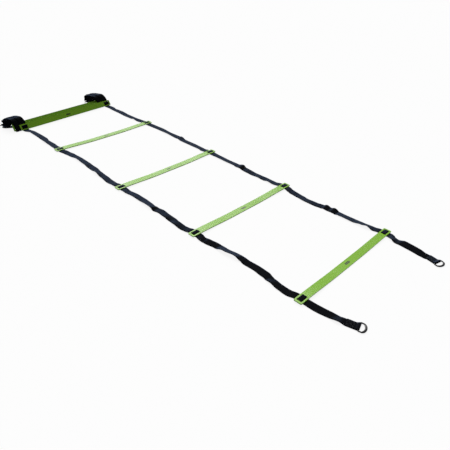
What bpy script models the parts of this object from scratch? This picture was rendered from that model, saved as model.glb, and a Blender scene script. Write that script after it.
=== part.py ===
"""Agility ladder, partly unrolled: flat slotted rungs on two webbing straps with D-rings at the ends.

Units are metres and +Z is up. The origin is under the middle of laid rung 2, on the floor. +Y runs
along the ladder to its gathered end, and -X is the left strap. The straps are built from paths that
are walked as runs and turns in the plane across the rungs, so that every bend keeps its clearance.
"""

import math

import bmesh
import bpy
from mathutils import Matrix, Vector

# Ladder layout: the pitch over each bay, from the gathered front rung to laid rung 4
STRAP_SPACING = 0.415
GATHER_PITCH = 0.285
BAY_2_PITCH = 0.397
BAY_3_PITCH = 0.365
BAY_4_PITCH = 0.381

# Moulded rung
RUNG_END_WIDTH = 0.0057
RUNG_WIDTH = 0.024
RUNG_THICKNESS = 0.003
RUNG_CORNER_RADIUS = 0.003
RUNG_EDGE_BEVEL = 0.0004
RUNG_LIFT = 0.0035
RUNG_FLAT_LENGTH = 0.12
CENTRE_BAR_WIDTH = 0.008
SLOT_SIDE_ROOM = 0.0008
SLOT_CORNER_RADIUS = 0.0009
BOW_STATION_STEP = 0.022

# Webbing
WEBBING_WIDTH = 0.025
WEBBING_THICKNESS = 0.0012
CLEARANCE = 0.0003
BEND_CENTRE_DEPTH = 0.001
HINGE_ROOM = 0.003
SETTLE_LENGTH = 0.03
HUMP_HEIGHT = 0.006
SIDE_DRIFT = 0.012
ROW_STEP = 0.0085

# Sewn strap ends and D-rings
LEFT_TAIL_REACH = 0.146
RIGHT_TAIL_REACH = 0.171
TAIL_DRIFT = 0.0215
TAB_LENGTH = 0.022
LAYER_GAP = 0.00045
RING_INNER_WIDTH = 0.026
RING_WIRE = 0.0036
RING_HEIGHT = 0.025
RING_CORNER_RADIUS = 0.0026
RING_CORNER_STEPS = 3
RING_BOW_STEPS = 16

# Gathered end: rungs leaning together, with the slack webbing bunched behind them
GATHERED_RUNGS = 4
GATHER_SPACING = 0.0095
GATHER_SHIFT = -0.0068
GATHER_STAGGER = 0.025
GATHERED_SLACK = 0.1
LOOP_LEG_GAP = 0.0005
LOOP_TIP_RADIUS = 0.003
LOOP_TIP_TAPER = 0.02
LEG_CLOSE_LENGTH = 0.015
SPINE_STEP = 0.006

# Angles, in degrees
GATHER_TILT_ANGLE = 57
GATHER_YAW_ANGLE = 3.9
ROLL_ANGLE = 20
BEND_STEP_ANGLE = 18
LOOP_STEP_ANGLE = 24
TAB_DROP_ANGLE = 30
SAME_PLANE_ANGLE = 0.1
BEVEL_ANGLE = 40

# Sizes that follow
HALF_WEBBING = WEBBING_THICKNESS / 2
SEAT = CLEARANCE + HALF_WEBBING
WEAVE_RADIUS = SEAT + BEND_CENTRE_DEPTH
SLOT_WIDTH = 2 * WEAVE_RADIUS
SLOT_LENGTH = WEBBING_WIDTH + 2 * SLOT_SIDE_ROOM
RUNG_LENGTH = STRAP_SPACING + SLOT_LENGTH + 2 * RUNG_END_WIDTH
EDGE_BAR_WIDTH = (RUNG_WIDTH - CENTRE_BAR_WIDTH) / 2 - SLOT_WIDTH
HALF_RUNG = RUNG_WIDTH / 2
HALF_SPACING = STRAP_SPACING / 2
HINGE_OFFSET = HALF_RUNG + HINGE_ROOM
UNDER_RUNG_HEIGHT = RUNG_LIFT - SEAT
HINGE_HEIGHT = UNDER_RUNG_HEIGHT + HALF_WEBBING
LOOP_RADIUS = RING_WIRE / 2 + SEAT
SIDES = {"left": -1, "right": 1}
TAIL_REACHES = {"left": LEFT_TAIL_REACH, "right": RIGHT_TAIL_REACH}

# Laid rungs, counted from the gathered end; the bodies hang from the rung at the origin
ROOT_RUNG = 2
RUNG_PLACES = (BAY_2_PITCH, 0.0, -BAY_3_PITCH, -BAY_3_PITCH - BAY_4_PITCH)
GATHER_PLACE = BAY_2_PITCH + GATHER_PITCH

# How each bay of webbing lies: places along the bay, counted from the gathered end, with its roll
# (positive lifts the edge on the +X side), its lift off the floor and its drift to +X
LAY_SHARES = {
    (1, "left"): (
        (0.15, -0.5, 0.0, 0.7),
        (0.35, -0.25, 0.1, 0.72),
        (0.5, 0.0, 0.0, 0.72),
        (0.63, -0.65, 0.1, 0.15),
        (0.78, -0.3, 0.1, 0.2),
        (0.93, -0.3, 0.0, 0.0),
    ),
    (1, "right"): (
        (0.1, -0.3, 0.0, -0.4),
        (0.2, -0.05, 0.1, -0.25),
        (0.3, 0.1, 0.1, -0.25),
        (0.5, 0.0, 0.0, -0.43),
        (0.7, -0.15, 0.1, -0.48),
        (0.76, -0.5, 0.1, -0.45),
        (0.86, 0.05, 0.1, -0.25),
    ),
    (2, "left"): (
        (0.06, 0.0, 0.0, 0.5),
        (0.14, 0.0, 0.1, 0.8),
        (0.28, -0.6, 0.1, 1.03),
        (0.42, -0.3, 0.1, 0.93),
        (0.5, 0.0, 0.0, 0.8),
        (0.56, 0.1, 0.05, 0.7),
        (0.65, -0.85, 0.2, 0.25),
        (0.76, -0.25, 0.1, 0.03),
        (0.88, -0.05, 0.1, -0.27),
        (0.94, -0.4, 0.0, -0.25),
    ),
    (2, "right"): (
        (0.08, 0.0, 0.05, 0.35),
        (0.2, 0.0, 0.1, 0.5),
        (0.36, -0.45, 0.1, 0.17),
        (0.5, 0.0, 0.0, 0.4),
        (0.54, 0.3, 0.2, 0.35),
        (0.63, -0.15, 0.1, -0.1),
        (0.78, -0.1, 0.1, 0.0),
        (0.9, -0.3, 0.1, -0.1),
        (0.95, -0.1, 0.0, -0.2),
    ),
    (3, "left"): (
        (0.05, -0.4, 0.0, -0.1),
        (0.18, -0.3, 0.1, 0.3),
        (0.29, -0.25, 0.1, 0.3),
        (0.38, -0.65, 0.1, 0.15),
        (0.46, -0.85, 0.1, -0.08),
        (0.5, 0.0, 0.0, 0.0),
        (0.57, -0.1, 0.1, 0.25),
        (0.65, -0.3, 0.1, 0.0),
        (0.74, 0.0, 0.1, -0.1),
        (0.8, -0.27, 0.1, -0.35),
        (0.9, -0.1, 0.05, -0.5),
        (0.95, -0.1, 0.0, -0.35),
    ),
    (3, "right"): (
        (0.1, -0.3, 0.05, 0.0),
        (0.25, -0.35, 0.1, -0.2),
        (0.36, -0.3, 0.1, -0.1),
        (0.46, 0.65, 0.4, -0.18),
        (0.5, 0.2, 0.0, -0.25),
        (0.56, 0.2, 0.1, -0.45),
        (0.65, 0.0, 0.1, -0.53),
        (0.73, -0.25, 0.1, -0.5),
        (0.8, 0.05, 0.1, -0.4),
        (0.87, -0.5, 0.1, -0.45),
        (0.94, -0.2, 0.0, -0.4),
    ),
    (4, "left"): (
        (0.05, -0.2, 0.0, -0.3),
        (0.1, 0.2, 0.1, -0.15),
        (0.2, 0.05, 0.1, 0.3),
        (0.29, -0.9, 0.2, 0.35),
        (0.4, -1.0, 0.3, 0.75),
        (0.46, -0.35, 0.05, 0.9),
        (0.5, 0.0, 0.0, 0.8),
        (0.6, 0.05, 0.1, 0.85),
        (0.7, 0.3, 0.2, 0.5),
        (0.78, -0.45, 0.1, 0.0),
        (0.86, -0.15, 0.1, -0.3),
        (0.94, 0.1, 0.0, -0.35),
    ),
    (4, "right"): (
        (0.05, 0.0, 0.0, -0.4),
        (0.1, 0.05, 0.1, -0.75),
        (0.18, -0.1, 0.1, -1.05),
        (0.26, -0.2, 0.1, -1.4),
        (0.36, 0.0, 0.1, -1.2),
        (0.43, 0.1, 0.1, -0.9),
        (0.46, 0.6, 0.2, -0.75),
        (0.5, 0.2, 0.0, -0.65),
        (0.54, 0.7, 0.2, -0.72),
        (0.61, -0.3, 0.1, -0.75),
        (0.66, -0.4, 0.1, -0.78),
        (0.76, -0.25, 0.1, -0.68),
        (0.84, -0.7, 0.1, -0.55),
        (0.89, -1.0, 0.1, -0.38),
        (0.95, -0.1, 0.0, -0.25),
    ),
}
TAIL_LAY_SHARES = {
    "left": (
        (0.3, 0.15, 0.05, 0.0),
        (0.55, 0.0, 0.1, 0.05),
        (0.84, -0.6, 0.1, -0.15),
    ),
    "right": (
        (0.12, -0.5, 0.05, -0.6),
        (0.24, 0.0, 0.1, -0.8),
        (0.4, 0.7, 0.1, -0.7),
        (0.75, 0.65, 0.1, -0.6),
        (0.9, 0.2, 0.05, -0.4),
    ),
}
TAIL_CURVE_SHARE = 1.8

# Places of the gathered rungs along X, as shares of the stagger
STAGGER_SHARES = (0.0, -1.0, -0.3, -0.6)

# Sideways lean of the bunched webbing, as shares of the distance that it runs back
LEAN_SHARES = {"left": -0.6, "right": -0.5}

# Bunched loops, from the front rung back: each is a list of runs and turns of the loop's spine, and
# the last run takes what is left of the slack. Runs are shares of the slack and turns are degrees
# with their radius as a share of the slack
LOOP_SHARES = (
    (
        ("run", 0.157),
        ("turn", -45, 0.22),
        ("turn", -24, 0.9),
        ("turn", -73, 0.13),
        ("run", None),
    ),
    (
        ("run", 0.147),
        ("turn", -57, 0.126),
        ("run", 0.31),
        ("turn", -179, 0.029),
        ("run", None),
    ),
    (
        ("run", 0.03),
        ("turn", -60, 0.07),
        ("run", 0.32),
        ("turn", -175, 0.032),
        ("run", 0.18),
        ("turn", 177, 0.024),
        ("run", None),
    ),
)

# The far strap end, folded on itself below the loops: runs and radii as shares of the slack
FAR_END_SHARES = (
    ("run", 0.021),
    ("turn", -147, 0.035),
    ("drop", 0.05),
    ("turn", 90, 0.05),
    ("floor", 0.315),
    ("turn", 180, 0.022),
    ("run", 0.24),
    ("turn", -180, 0.022),
    ("run", 0.25),
)


def clear_scene():
    for obj in list(bpy.data.objects):
        bpy.data.objects.remove(obj, do_unlink=True)


def make_collection(name):
    collection = bpy.data.collections.new(name)
    bpy.context.scene.collection.children.link(collection)
    return collection


def make_material(name, colour, roughness, metallic=0.0):
    material = bpy.data.materials.new(name)
    material.use_nodes = True
    shader = material.node_tree.nodes["Principled BSDF"]
    shader.inputs["Base Color"].default_value = (*colour, 1.0)
    shader.inputs["Roughness"].default_value = roughness
    shader.inputs["Metallic"].default_value = metallic
    return material


def ease(share):
    share = min(max(share, 0.0), 1.0)
    return share * share * (3 - 2 * share)


# Carriers: empties on the joint axes


def make_carrier(name, point, parent=None):
    carrier = bpy.data.objects.new(name, None)
    carrier.empty_display_type = "SINGLE_ARROW"
    carrier.empty_display_size = RUNG_WIDTH
    parts.objects.link(carrier)
    carrier["place"] = tuple(point)
    if parent is None:
        carrier.location = point
    else:
        carrier.parent = parent
        carrier.location = Vector(point) - place_of(parent)
    return carrier


def place_of(carrier):
    return Vector(carrier["place"])


def put_on(obj, carrier, point, rotation=(0.0, 0.0, 0.0)):
    obj.parent = carrier
    obj.location = Vector(point) - place_of(carrier)
    obj.rotation_euler = rotation


# Walked paths


class Walk:
    """A path of runs and turns in a plane, with a point at each bend step."""

    def __init__(self, along, height, heading, bend_step=BEND_STEP_ANGLE):
        self.points = [Vector((along, height))]
        self.heading = math.radians(heading)
        self.bend_step = bend_step
        self.length = 0.0

    def run(self, length, step=None):
        count = max(1, math.ceil(length / step)) if step else 1
        start = self.points[-1]
        ahead = Vector((math.cos(self.heading), math.sin(self.heading)))
        for index in range(count):
            self.points.append(start + ahead * (length * (index + 1) / count))
        self.length += length

    def turn(self, degrees, radius):
        count = max(2, round(abs(degrees) / self.bend_step))
        side = 1 if degrees > 0 else -1
        start = self.heading
        centre = self.points[-1] + radius * side * Vector((-math.sin(start), math.cos(start)))
        for index in range(count):
            heading = start + math.radians(degrees) * (index + 1) / count
            self.points.append(centre - radius * side * Vector((-math.sin(heading), math.cos(heading))))
        self.heading = start + math.radians(degrees)
        self.length += abs(math.radians(degrees)) * radius

    def weave(self):
        """Up through one slot, over the centre bar and down through the other."""
        rise = RUNG_THICKNESS + 2 * SEAT - 2 * WEAVE_RADIUS
        self.turn(90, WEAVE_RADIUS)
        self.run(rise)
        self.turn(-90, WEAVE_RADIUS)
        self.run(CENTRE_BAR_WIDTH)
        self.turn(-90, WEAVE_RADIUS)
        self.run(rise)
        self.turn(90, WEAVE_RADIUS)

    def end_loop(self):
        """Round the ring's bar and back over the strap as the sewn tab."""
        drop = 2 * LOOP_RADIUS - (WEBBING_THICKNESS + LAYER_GAP)
        angle = math.radians(TAB_DROP_ANGLE)
        slope = (drop - 2 * LOOP_RADIUS * (1 - math.cos(angle))) / math.sin(angle)
        self.turn(180 + TAB_DROP_ANGLE, LOOP_RADIUS)
        self.run(slope)
        self.turn(-TAB_DROP_ANGLE, LOOP_RADIUS)
        self.run(TAB_LENGTH, ROW_STEP)


# Webbing


def make_band(name, rows, carrier):
    """A length of webbing through rows of (centre, direction across the webbing)."""
    last = len(rows) - 1
    origin = place_of(carrier)
    mesh = bpy.data.meshes.new(name)
    grid = bmesh.new()
    bmesh.ops.create_grid(grid, x_segments=last, y_segments=1, size=1)
    for vertex in grid.verts:
        centre, across = rows[round((vertex.co.x + 1) / 2 * last)]
        vertex.co = centre + across * (vertex.co.y * WEBBING_WIDTH / 2) - origin
    grid.to_mesh(mesh)
    grid.free()
    band = bpy.data.objects.new(name, mesh)
    parts.objects.link(band)
    put_on(band, carrier, origin)
    band.data.materials.append(webbing_black)
    shell = band.modifiers.new("Webbing thickness", "SOLIDIFY")
    shell.thickness = WEBBING_THICKNESS
    shell.offset = 0
    shell.use_even_offset = True
    return band


def keyed(shares, place, column):
    """The value in a table of (place, ...) between its rows, easing to zero at both ends."""
    rows = ((0.0, 0.0, 0.0, 0.0), *shares, (1.0, 0.0, 0.0, 0.0))
    for before, after in zip(rows, rows[1:]):
        if place <= after[0]:
            share = ease((place - before[0]) / (after[0] - before[0]))
            return before[column] + (after[column] - before[column]) * share
    return 0.0


def lay_row(shares, place, base_height):
    """Centre and across direction of loosely lying webbing, as (drift, height, roll)."""
    roll = math.radians(ROLL_ANGLE) * keyed(shares, place, 1)
    lift = WEBBING_WIDTH / 2 * abs(math.sin(roll)) + HUMP_HEIGHT * keyed(shares, place, 2)
    return SIDE_DRIFT * keyed(shares, place, 3), base_height + lift, roll


def settle(distance, raised):
    """Height of the webbing's middle at a distance from a hinge where it is raised."""
    return HALF_WEBBING + (raised - HALF_WEBBING) * (1 - ease(distance / SETTLE_LENGTH))


def half_bay_rows(shares, half, span, x_ends, raised):
    """Rows along -Y over the far half (0) or the near half (1) of a bay. The span, the strap's straight
    line in X and its raised heights are pairs, for the half's two ends."""
    gap = CLEARANCE / 2
    start, end = span
    count = math.ceil((start - end) / ROW_STEP)
    rows = []
    for index in range(count + 1):
        place = index / count
        along = start - gap - (start - end - 2 * gap) * place
        base = max(settle(start - along, raised[0]), settle(along - end, raised[1]))
        drift, height, roll = lay_row(shares, (half + place) / 2, base)
        x = x_ends[0] + (x_ends[1] - x_ends[0]) * place + drift
        across = Vector((math.cos(roll), 0.0, math.sin(roll)))
        rows.append((Vector((x, along, height)), across))
    return rows


# Rungs


def rounded_outline(half_length, half_width, radius, steps, centre=(0.0, 0.0)):
    corners = (
        (half_length - radius, half_width - radius, 0),
        (radius - half_length, half_width - radius, 90),
        (radius - half_length, radius - half_width, 180),
        (half_length - radius, radius - half_width, 270),
    )
    points = []
    for x, y, start in corners:
        for step in range(steps + 1):
            angle = math.radians(start + 90 * step / steps)
            across = centre[0] + x + radius * math.cos(angle)
            points.append((across, centre[1] + y + radius * math.sin(angle)))
    return points


def bow_height(x):
    """Height of the rung's underside: flat in the middle, level again where the straps pass."""
    flat = RUNG_FLAT_LENGTH / 2
    level = HALF_SPACING - SLOT_LENGTH / 2
    return RUNG_LIFT * ease((abs(x) - flat) / (level - flat))


def rung_mesh(name, bowed):
    curve = bpy.data.curves.new(name, "CURVE")
    curve.dimensions = "2D"
    curve.fill_mode = "BOTH"
    curve.extrude = RUNG_THICKNESS / 2
    outlines = [rounded_outline(RUNG_LENGTH / 2, HALF_RUNG, RUNG_CORNER_RADIUS, 4)]
    slot_place = (CENTRE_BAR_WIDTH + SLOT_WIDTH) / 2
    for side in (-1, 1):
        for edge in (-1, 1):
            centre = (side * HALF_SPACING, edge * slot_place)
            outlines.append(rounded_outline(SLOT_LENGTH / 2, SLOT_WIDTH / 2, SLOT_CORNER_RADIUS, 2, centre))
    for outline in outlines:
        spline = curve.splines.new("POLY")
        spline.points.add(len(outline) - 1)
        for point, place in zip(spline.points, outline):
            point.co = (*place, 0.0, 1.0)
        spline.use_cyclic_u = True
    guide = bpy.data.objects.new(name, curve)
    parts.objects.link(guide)
    bpy.context.view_layer.update()
    graph = bpy.context.evaluated_depsgraph_get()
    mesh = bpy.data.meshes.new_from_object(guide.evaluated_get(graph))
    bpy.data.objects.remove(guide, do_unlink=True)
    form = bmesh.new()
    form.from_mesh(mesh)
    bmesh.ops.remove_doubles(form, verts=form.verts, dist=RUNG_EDGE_BEVEL / 10)
    flat_limit = math.radians(SAME_PLANE_ANGLE)
    bmesh.ops.dissolve_limit(form, angle_limit=flat_limit, verts=form.verts, edges=form.edges)
    if bowed:
        flat = RUNG_FLAT_LENGTH / 2
        level = HALF_SPACING - SLOT_LENGTH / 2
        count = max(2, math.ceil((level - flat) / BOW_STATION_STEP))
        for side in (-1, 1):
            for index in range(count + 1):
                station = side * (flat + (level - flat) * index / count)
                everything = form.verts[:] + form.edges[:] + form.faces[:]
                bmesh.ops.bisect_plane(form, geom=everything, plane_co=(station, 0, 0), plane_no=(1, 0, 0))
    for vertex in form.verts:
        vertex.co.z += RUNG_THICKNESS / 2
        if bowed:
            vertex.co.z += bow_height(vertex.co.x)
    bmesh.ops.recalc_face_normals(form, faces=form.faces)
    form.to_mesh(mesh)
    form.free()
    mesh.materials.append(rung_green)
    return mesh


def make_rung(name, mesh, carrier, point, rotation=(0.0, 0.0, 0.0)):
    """A rung whose origin is under its middle."""
    rung = bpy.data.objects.new(name, mesh)
    parts.objects.link(rung)
    put_on(rung, carrier, point, rotation)
    bevel = rung.modifiers.new("Moulded edges", "BEVEL")
    bevel.width = RUNG_EDGE_BEVEL
    bevel.segments = 1
    bevel.limit_method = "ANGLE"
    bevel.angle_limit = math.radians(BEVEL_ANGLE)
    bevel.use_clamp_overlap = True
    return rung


def make_rung_weave(number, side, carrier):
    """The length of strap held by a laid rung."""
    x = SIDES[side] * HALF_SPACING
    y = RUNG_PLACES[number - 1]
    under = HINGE_ROOM + EDGE_BAR_WIDTH - CLEARANCE / 2
    walk = Walk(-HINGE_OFFSET + CLEARANCE / 2, UNDER_RUNG_HEIGHT, 0)
    walk.run(under)
    walk.weave()
    walk.run(under)
    rows = [(Vector((x, y + point.x, point.y)), Vector((1, 0, 0))) for point in walk.points]
    make_band(f"rung_{number}_weave_{side}", rows, carrier)


# D-rings


def ring_points():
    """Closed centre line of the ring: its bar lies along X at the origin and its bow reaches to -Y."""
    half = (RING_INNER_WIDTH + RING_WIRE) / 2
    reach = RING_HEIGHT - RING_WIRE
    corner = RING_CORNER_RADIUS
    points = []
    for step in range(RING_CORNER_STEPS + 1):
        angle = math.radians(90 - 90 * step / RING_CORNER_STEPS)
        points.append((half - corner + corner * math.cos(angle), corner * math.sin(angle) - corner))
    for step in range(1, RING_BOW_STEPS):
        angle = math.radians(180 * step / RING_BOW_STEPS)
        points.append((half * math.cos(angle), -corner - (reach - corner) * math.sin(angle)))
    for x, y in points[RING_CORNER_STEPS::-1]:
        points.append((-x, y))
    return points


def make_ring(name, carrier, point, heading, dip):
    """heading turns the ring about Z and dip lowers its bow."""
    curve = bpy.data.curves.new(name, "CURVE")
    curve.dimensions = "3D"
    curve.bevel_depth = RING_WIRE / 2
    curve.bevel_resolution = 2
    spline = curve.splines.new("POLY")
    outline = ring_points()
    spline.points.add(len(outline) - 1)
    for place, ring_point in zip(outline, spline.points):
        ring_point.co = (*place, 0.0, 1.0)
    spline.use_cyclic_u = True
    curve.materials.append(ring_black)
    ring = bpy.data.objects.new(name, curve)
    parts.objects.link(ring)
    put_on(ring, carrier, point, (dip, 0.0, heading))
    return ring


# Straps between the rungs


def bay_span(number, first_hinge):
    """Where a bay of the straps starts, folds and ends, as places along Y."""
    start = first_hinge if number == 1 else RUNG_PLACES[number - 2] - HINGE_OFFSET
    end = RUNG_PLACES[number - 1] + HINGE_OFFSET
    return start, (start + end) / 2, end


def make_axes(first_hinge):
    """The carrier of each body that lies along the ladder, from the root rung out to both ends."""
    axes = {f"rung_{ROOT_RUNG}": make_carrier(f"rung_{ROOT_RUNG}_axis", (0, 0, 0))}

    def hang(body, parent, along, height):
        axes[body] = make_carrier(f"{body}_axis", (0, along, height), axes[parent])

    for bay in range(ROOT_RUNG, 0, -1):
        start, middle, end = bay_span(bay, first_hinge)
        beyond = f"rung_{bay - 1}" if bay > 1 else "gathered_end"
        hang(f"bay_{bay}_near", f"rung_{bay}", end, HINGE_HEIGHT)
        hang(f"bay_{bay}_far", f"bay_{bay}_near", middle, 0)
        hang(beyond, f"bay_{bay}_far", start, HINGE_HEIGHT)
    for bay in range(ROOT_RUNG + 1, len(RUNG_PLACES) + 1):
        start, middle, end = bay_span(bay, first_hinge)
        hang(f"bay_{bay}_far", f"rung_{bay - 1}", start, HINGE_HEIGHT)
        hang(f"bay_{bay}_near", f"bay_{bay}_far", middle, 0)
        hang(f"rung_{bay}", f"bay_{bay}_near", end, HINGE_HEIGHT)
    return axes


def make_bay(number, first_hinge, x_starts, axes):
    """One bay of both straps in two halves, and the rung at its near end."""
    start, middle, end = bay_span(number, first_hinge)
    raised = GATHER_UNDER_HEIGHT if number == 1 else UNDER_RUNG_HEIGHT
    rung_axis = axes[f"rung_{number}"]
    for side, sign in SIDES.items():
        shares = LAY_SHARES[number, side]
        x_end = sign * HALF_SPACING
        x_middle = (x_starts[side] + x_end) / 2
        x_ends = (x_starts[side], x_middle)
        rows = half_bay_rows(shares, 0, (start, middle), x_ends, (raised, HALF_WEBBING))
        make_band(f"bay_{number}_strap_{side}_far", rows, axes[f"bay_{number}_far"])
        x_ends = (x_middle, x_end)
        rows = half_bay_rows(shares, 1, (middle, end), x_ends, (HALF_WEBBING, UNDER_RUNG_HEIGHT))
        make_band(f"bay_{number}_strap_{side}_near", rows, axes[f"bay_{number}_near"])
        make_rung_weave(number, side, rung_axis)
    make_rung(f"rung_{number}", bowed_rung, rung_axis, (0, RUNG_PLACES[number - 1], 0))


def make_near_end(side, parent):
    """The free end of a strap with its sewn loop and D-ring, beyond rung 4."""
    hinge = RUNG_PLACES[-1] - HINGE_OFFSET
    reach = TAIL_REACHES[side] - HINGE_OFFSET
    sign = SIDES[side]
    carrier = make_carrier(f"end_strap_{side}_axis", (sign * HALF_SPACING, hinge, HINGE_HEIGHT), parent)
    walk = Walk(CLEARANCE / 2, HALF_WEBBING, 0)
    walk.run(reach - CLEARANCE / 2, ROW_STEP)
    walk.end_loop()

    def plan(along):
        share = along / reach
        drift = -sign * TAIL_DRIFT * share ** TAIL_CURVE_SHARE if share > 0 else 0.0
        slope = -sign * TAIL_DRIFT * TAIL_CURVE_SHARE * max(share, 0.0) ** (TAIL_CURVE_SHARE - 1) / reach
        return drift, math.atan(slope)

    bar_drift, bar_heading = plan(reach)
    ahead = Vector((math.sin(bar_heading), -math.cos(bar_heading), 0))
    bar = Vector((sign * HALF_SPACING + bar_drift, hinge - reach, HALF_WEBBING + LOOP_RADIUS))
    loose = reach - TAB_LENGTH - 2 * LOOP_RADIUS
    rows = []
    for point in walk.points:
        if point.x > reach:
            centre = bar + ahead * (point.x - reach)
            centre.z = point.y
            heading, roll = bar_heading, 0.0
        else:
            drift, heading = plan(point.x)
            x_side, height, roll = lay_row(TAIL_LAY_SHARES[side], point.x / loose, 0.0)
            if point.y > HALF_WEBBING + LAYER_GAP / 2 or point.x > loose:
                x_side, height, roll = 0.0, 0.0, 0.0
            raised = settle(point.x, UNDER_RUNG_HEIGHT) - HALF_WEBBING
            x = sign * HALF_SPACING + drift + x_side
            centre = Vector((x, hinge - point.x, point.y + height + raised))
        level = math.cos(roll) * math.cos(heading)
        rows.append((centre, Vector((level, math.sin(heading), math.sin(roll))).normalized()))
    make_band(f"end_strap_{side}", rows, carrier)
    ring_axis = make_carrier(f"end_ring_{side}_axis", bar, carrier)
    dip = math.asin((bar.z - RING_WIRE / 2) / (RING_HEIGHT - RING_WIRE))
    make_ring(f"end_ring_{side}", ring_axis, bar, bar_heading, dip)


# Gathered end


def gather_frame():
    """Sizes of the leaning rungs: spacing along Y, and the height of each lower back edge."""
    tilt = math.radians(GATHER_TILT_ANGLE)
    wrap_centre = (LEG_LEVEL - SEAT) / 2
    height = wrap_radius() + HALF_WEBBING - wrap_centre * math.cos(tilt)
    return GATHER_SPACING / math.sin(tilt), height


def wrap_radius():
    """Radius of the strap's middle where it passes round a gathered rung's lower edge."""
    return (LEG_LEVEL + SEAT) / 2


def gather_point(number, along, level):
    """A point in the (y, z) plane, at a distance up a gathered rung and a level above its underside."""
    tilt = math.radians(GATHER_TILT_ANGLE)
    spacing, height = gather_frame()
    y = number * spacing + along * math.cos(tilt) - level * math.sin(tilt)
    z = height + along * math.sin(tilt) + level * math.cos(tilt)
    return Vector((y, z))


def length_shares(points):
    """How far along the path each point is, from 0 to 1."""
    travelled = [0.0]
    for before, after in zip(points, points[1:]):
        travelled.append(travelled[-1] + (after - before).length)
    return [length / travelled[-1] for length in travelled]


def loop_points(number):
    """Outgoing leg, tip and returning leg of the bunched loop behind a gathered rung."""
    leg_start = (OUT_LEVEL - LEG_LEVEL) / 2
    leg_close = (WEBBING_THICKNESS + LOOP_LEG_GAP) / 2
    start = gather_point(number, RUNG_WIDTH, (OUT_LEVEL + LEG_LEVEL) / 2)
    spine = Walk(start.x, start.y, GATHER_TILT_ANGLE, LOOP_STEP_ANGLE)
    for move in LOOP_SHARES[number - 1]:
        if move[0] == "turn":
            spine.turn(move[1], move[2] * GATHERED_SLACK)
        elif move[1] is None:
            spine.run(GATHERED_SLACK - spine.length, SPINE_STEP)
        else:
            spine.run(move[1] * GATHERED_SLACK, SPINE_STEP)
    points = spine.points
    tilt = math.radians(GATHER_TILT_ANGLE)
    left = []
    right = []
    travelled = 0.0
    for index, point in enumerate(points):
        before = points[max(index - 1, 0)]
        after = points[min(index + 1, len(points) - 1)]
        if index:
            travelled += (point - before).length
        ahead = (after - before).normalized()
        if index == 0:
            ahead = Vector((math.cos(tilt), math.sin(tilt)))
        side = Vector((-ahead.y, ahead.x))
        bend = (point - before).angle(after - point, 0.0) if 0 < index < len(points) - 1 else 0.0
        half = leg_close + (leg_start - leg_close) * (1 - ease(travelled / LEG_CLOSE_LENGTH))
        half += (LOOP_TIP_RADIUS - leg_close) * ease(1 - (spine.length - travelled) / LOOP_TIP_TAPER)
        half /= math.cos(bend / 2)
        left.append(point + side * half)
        right.append(point - side * half)
    tip = Walk(left[-1].x, left[-1].y, math.degrees(spine.heading), LOOP_STEP_ANGLE)
    tip.turn(-180, LOOP_TIP_RADIUS)
    return left + tip.points[1:-1] + right[::-1]


def gathered_path(lead):
    """The whole gathered strap, as places of (point in the (y, z) plane, share of the stagger, distance
    run back), and the place of the ring's bar."""
    bend_centre = gather_point(0, 0.0, BEND_CENTRE_DEPTH)
    walk = Walk(bend_centre.x - lead, bend_centre.y - WEAVE_RADIUS, 0)
    walk.run(lead, ROW_STEP)
    walk.turn(GATHER_TILT_ANGLE, WEAVE_RADIUS)
    path = []
    for number in range(GATHERED_RUNGS):
        stagger = STAGGER_SHARES[number]
        walk.run(EDGE_BAR_WIDTH)
        walk.weave()
        walk.run(EDGE_BAR_WIDTH)
        path += [(point, stagger, 0.0) for point in walk.points]
        if number + 1 == GATHERED_RUNGS:
            break
        loop = loop_points(number + 1)
        for point, share in zip(loop, length_shares(loop)):
            shifted = stagger + (STAGGER_SHARES[number + 1] - stagger) * ease(share)
            path.append((point, shifted, max(0.0, point.x - loop[-1].x)))
        bottom = gather_point(number + 1, 0.0, LEG_LEVEL)
        walk = Walk(bottom.x, bottom.y, GATHER_TILT_ANGLE + 180)
        walk.turn(180, wrap_radius())
    top = walk.points[-1]
    walk = Walk(top.x, top.y, GATHER_TILT_ANGLE)
    for move in FAR_END_SHARES:
        if move[0] == "turn":
            walk.turn(move[1], move[2] * GATHERED_SLACK)
        elif move[0] == "drop":
            walk.run(walk.points[-1].y - move[1] * GATHERED_SLACK - HALF_WEBBING, SPINE_STEP)
        else:
            run_start = len(walk.points)
            walk.run(move[1] * GATHERED_SLACK, SPINE_STEP)
            if move[0] == "floor":
                floor_start, floor_end = run_start, len(walk.points)
    bar = walk.points[-1] + Vector((0, LOOP_RADIUS))
    walk.end_loop()
    back = bar.x - top.x
    for index, point in enumerate(walk.points[1:]):
        share = ease((index - floor_start) / (floor_end - floor_start))
        path.append((point, STAGGER_SHARES[-1], back * share))
    return path, bar, back


def gathered_x(side, stagger, back):
    """Sideways place of the gathered strap: the rung's stagger and the lean of the bunch."""
    return SIDES[side] * HALF_SPACING + GATHER_STAGGER * stagger + LEAN_SHARES[side] * back


def gather_matrix():
    """From the gathered end's own frame, whose origin is under its front rung, to the ladder's."""
    middle = gather_point(0, HALF_RUNG, 0.0)
    place = Vector((GATHER_SHIFT, GATHER_PLACE, 0))
    turn = Matrix.Rotation(math.radians(GATHER_YAW_ANGLE), 4, "Z")
    return Matrix.Translation(place) @ turn @ Matrix.Translation((0, -middle.x, 0))


def make_gathered_rungs(carrier):
    matrix = gather_matrix()
    tilt = math.radians(GATHER_TILT_ANGLE)
    for number in range(GATHERED_RUNGS):
        middle = gather_point(number, HALF_RUNG, 0.0)
        place = matrix @ Vector((STAGGER_SHARES[number] * GATHER_STAGGER, middle.x, middle.y))
        rotation = (tilt, 0.0, math.radians(GATHER_YAW_ANGLE))
        make_rung(f"gathered_rung_{number + 1}", straight_rung, carrier, place, rotation)


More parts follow.
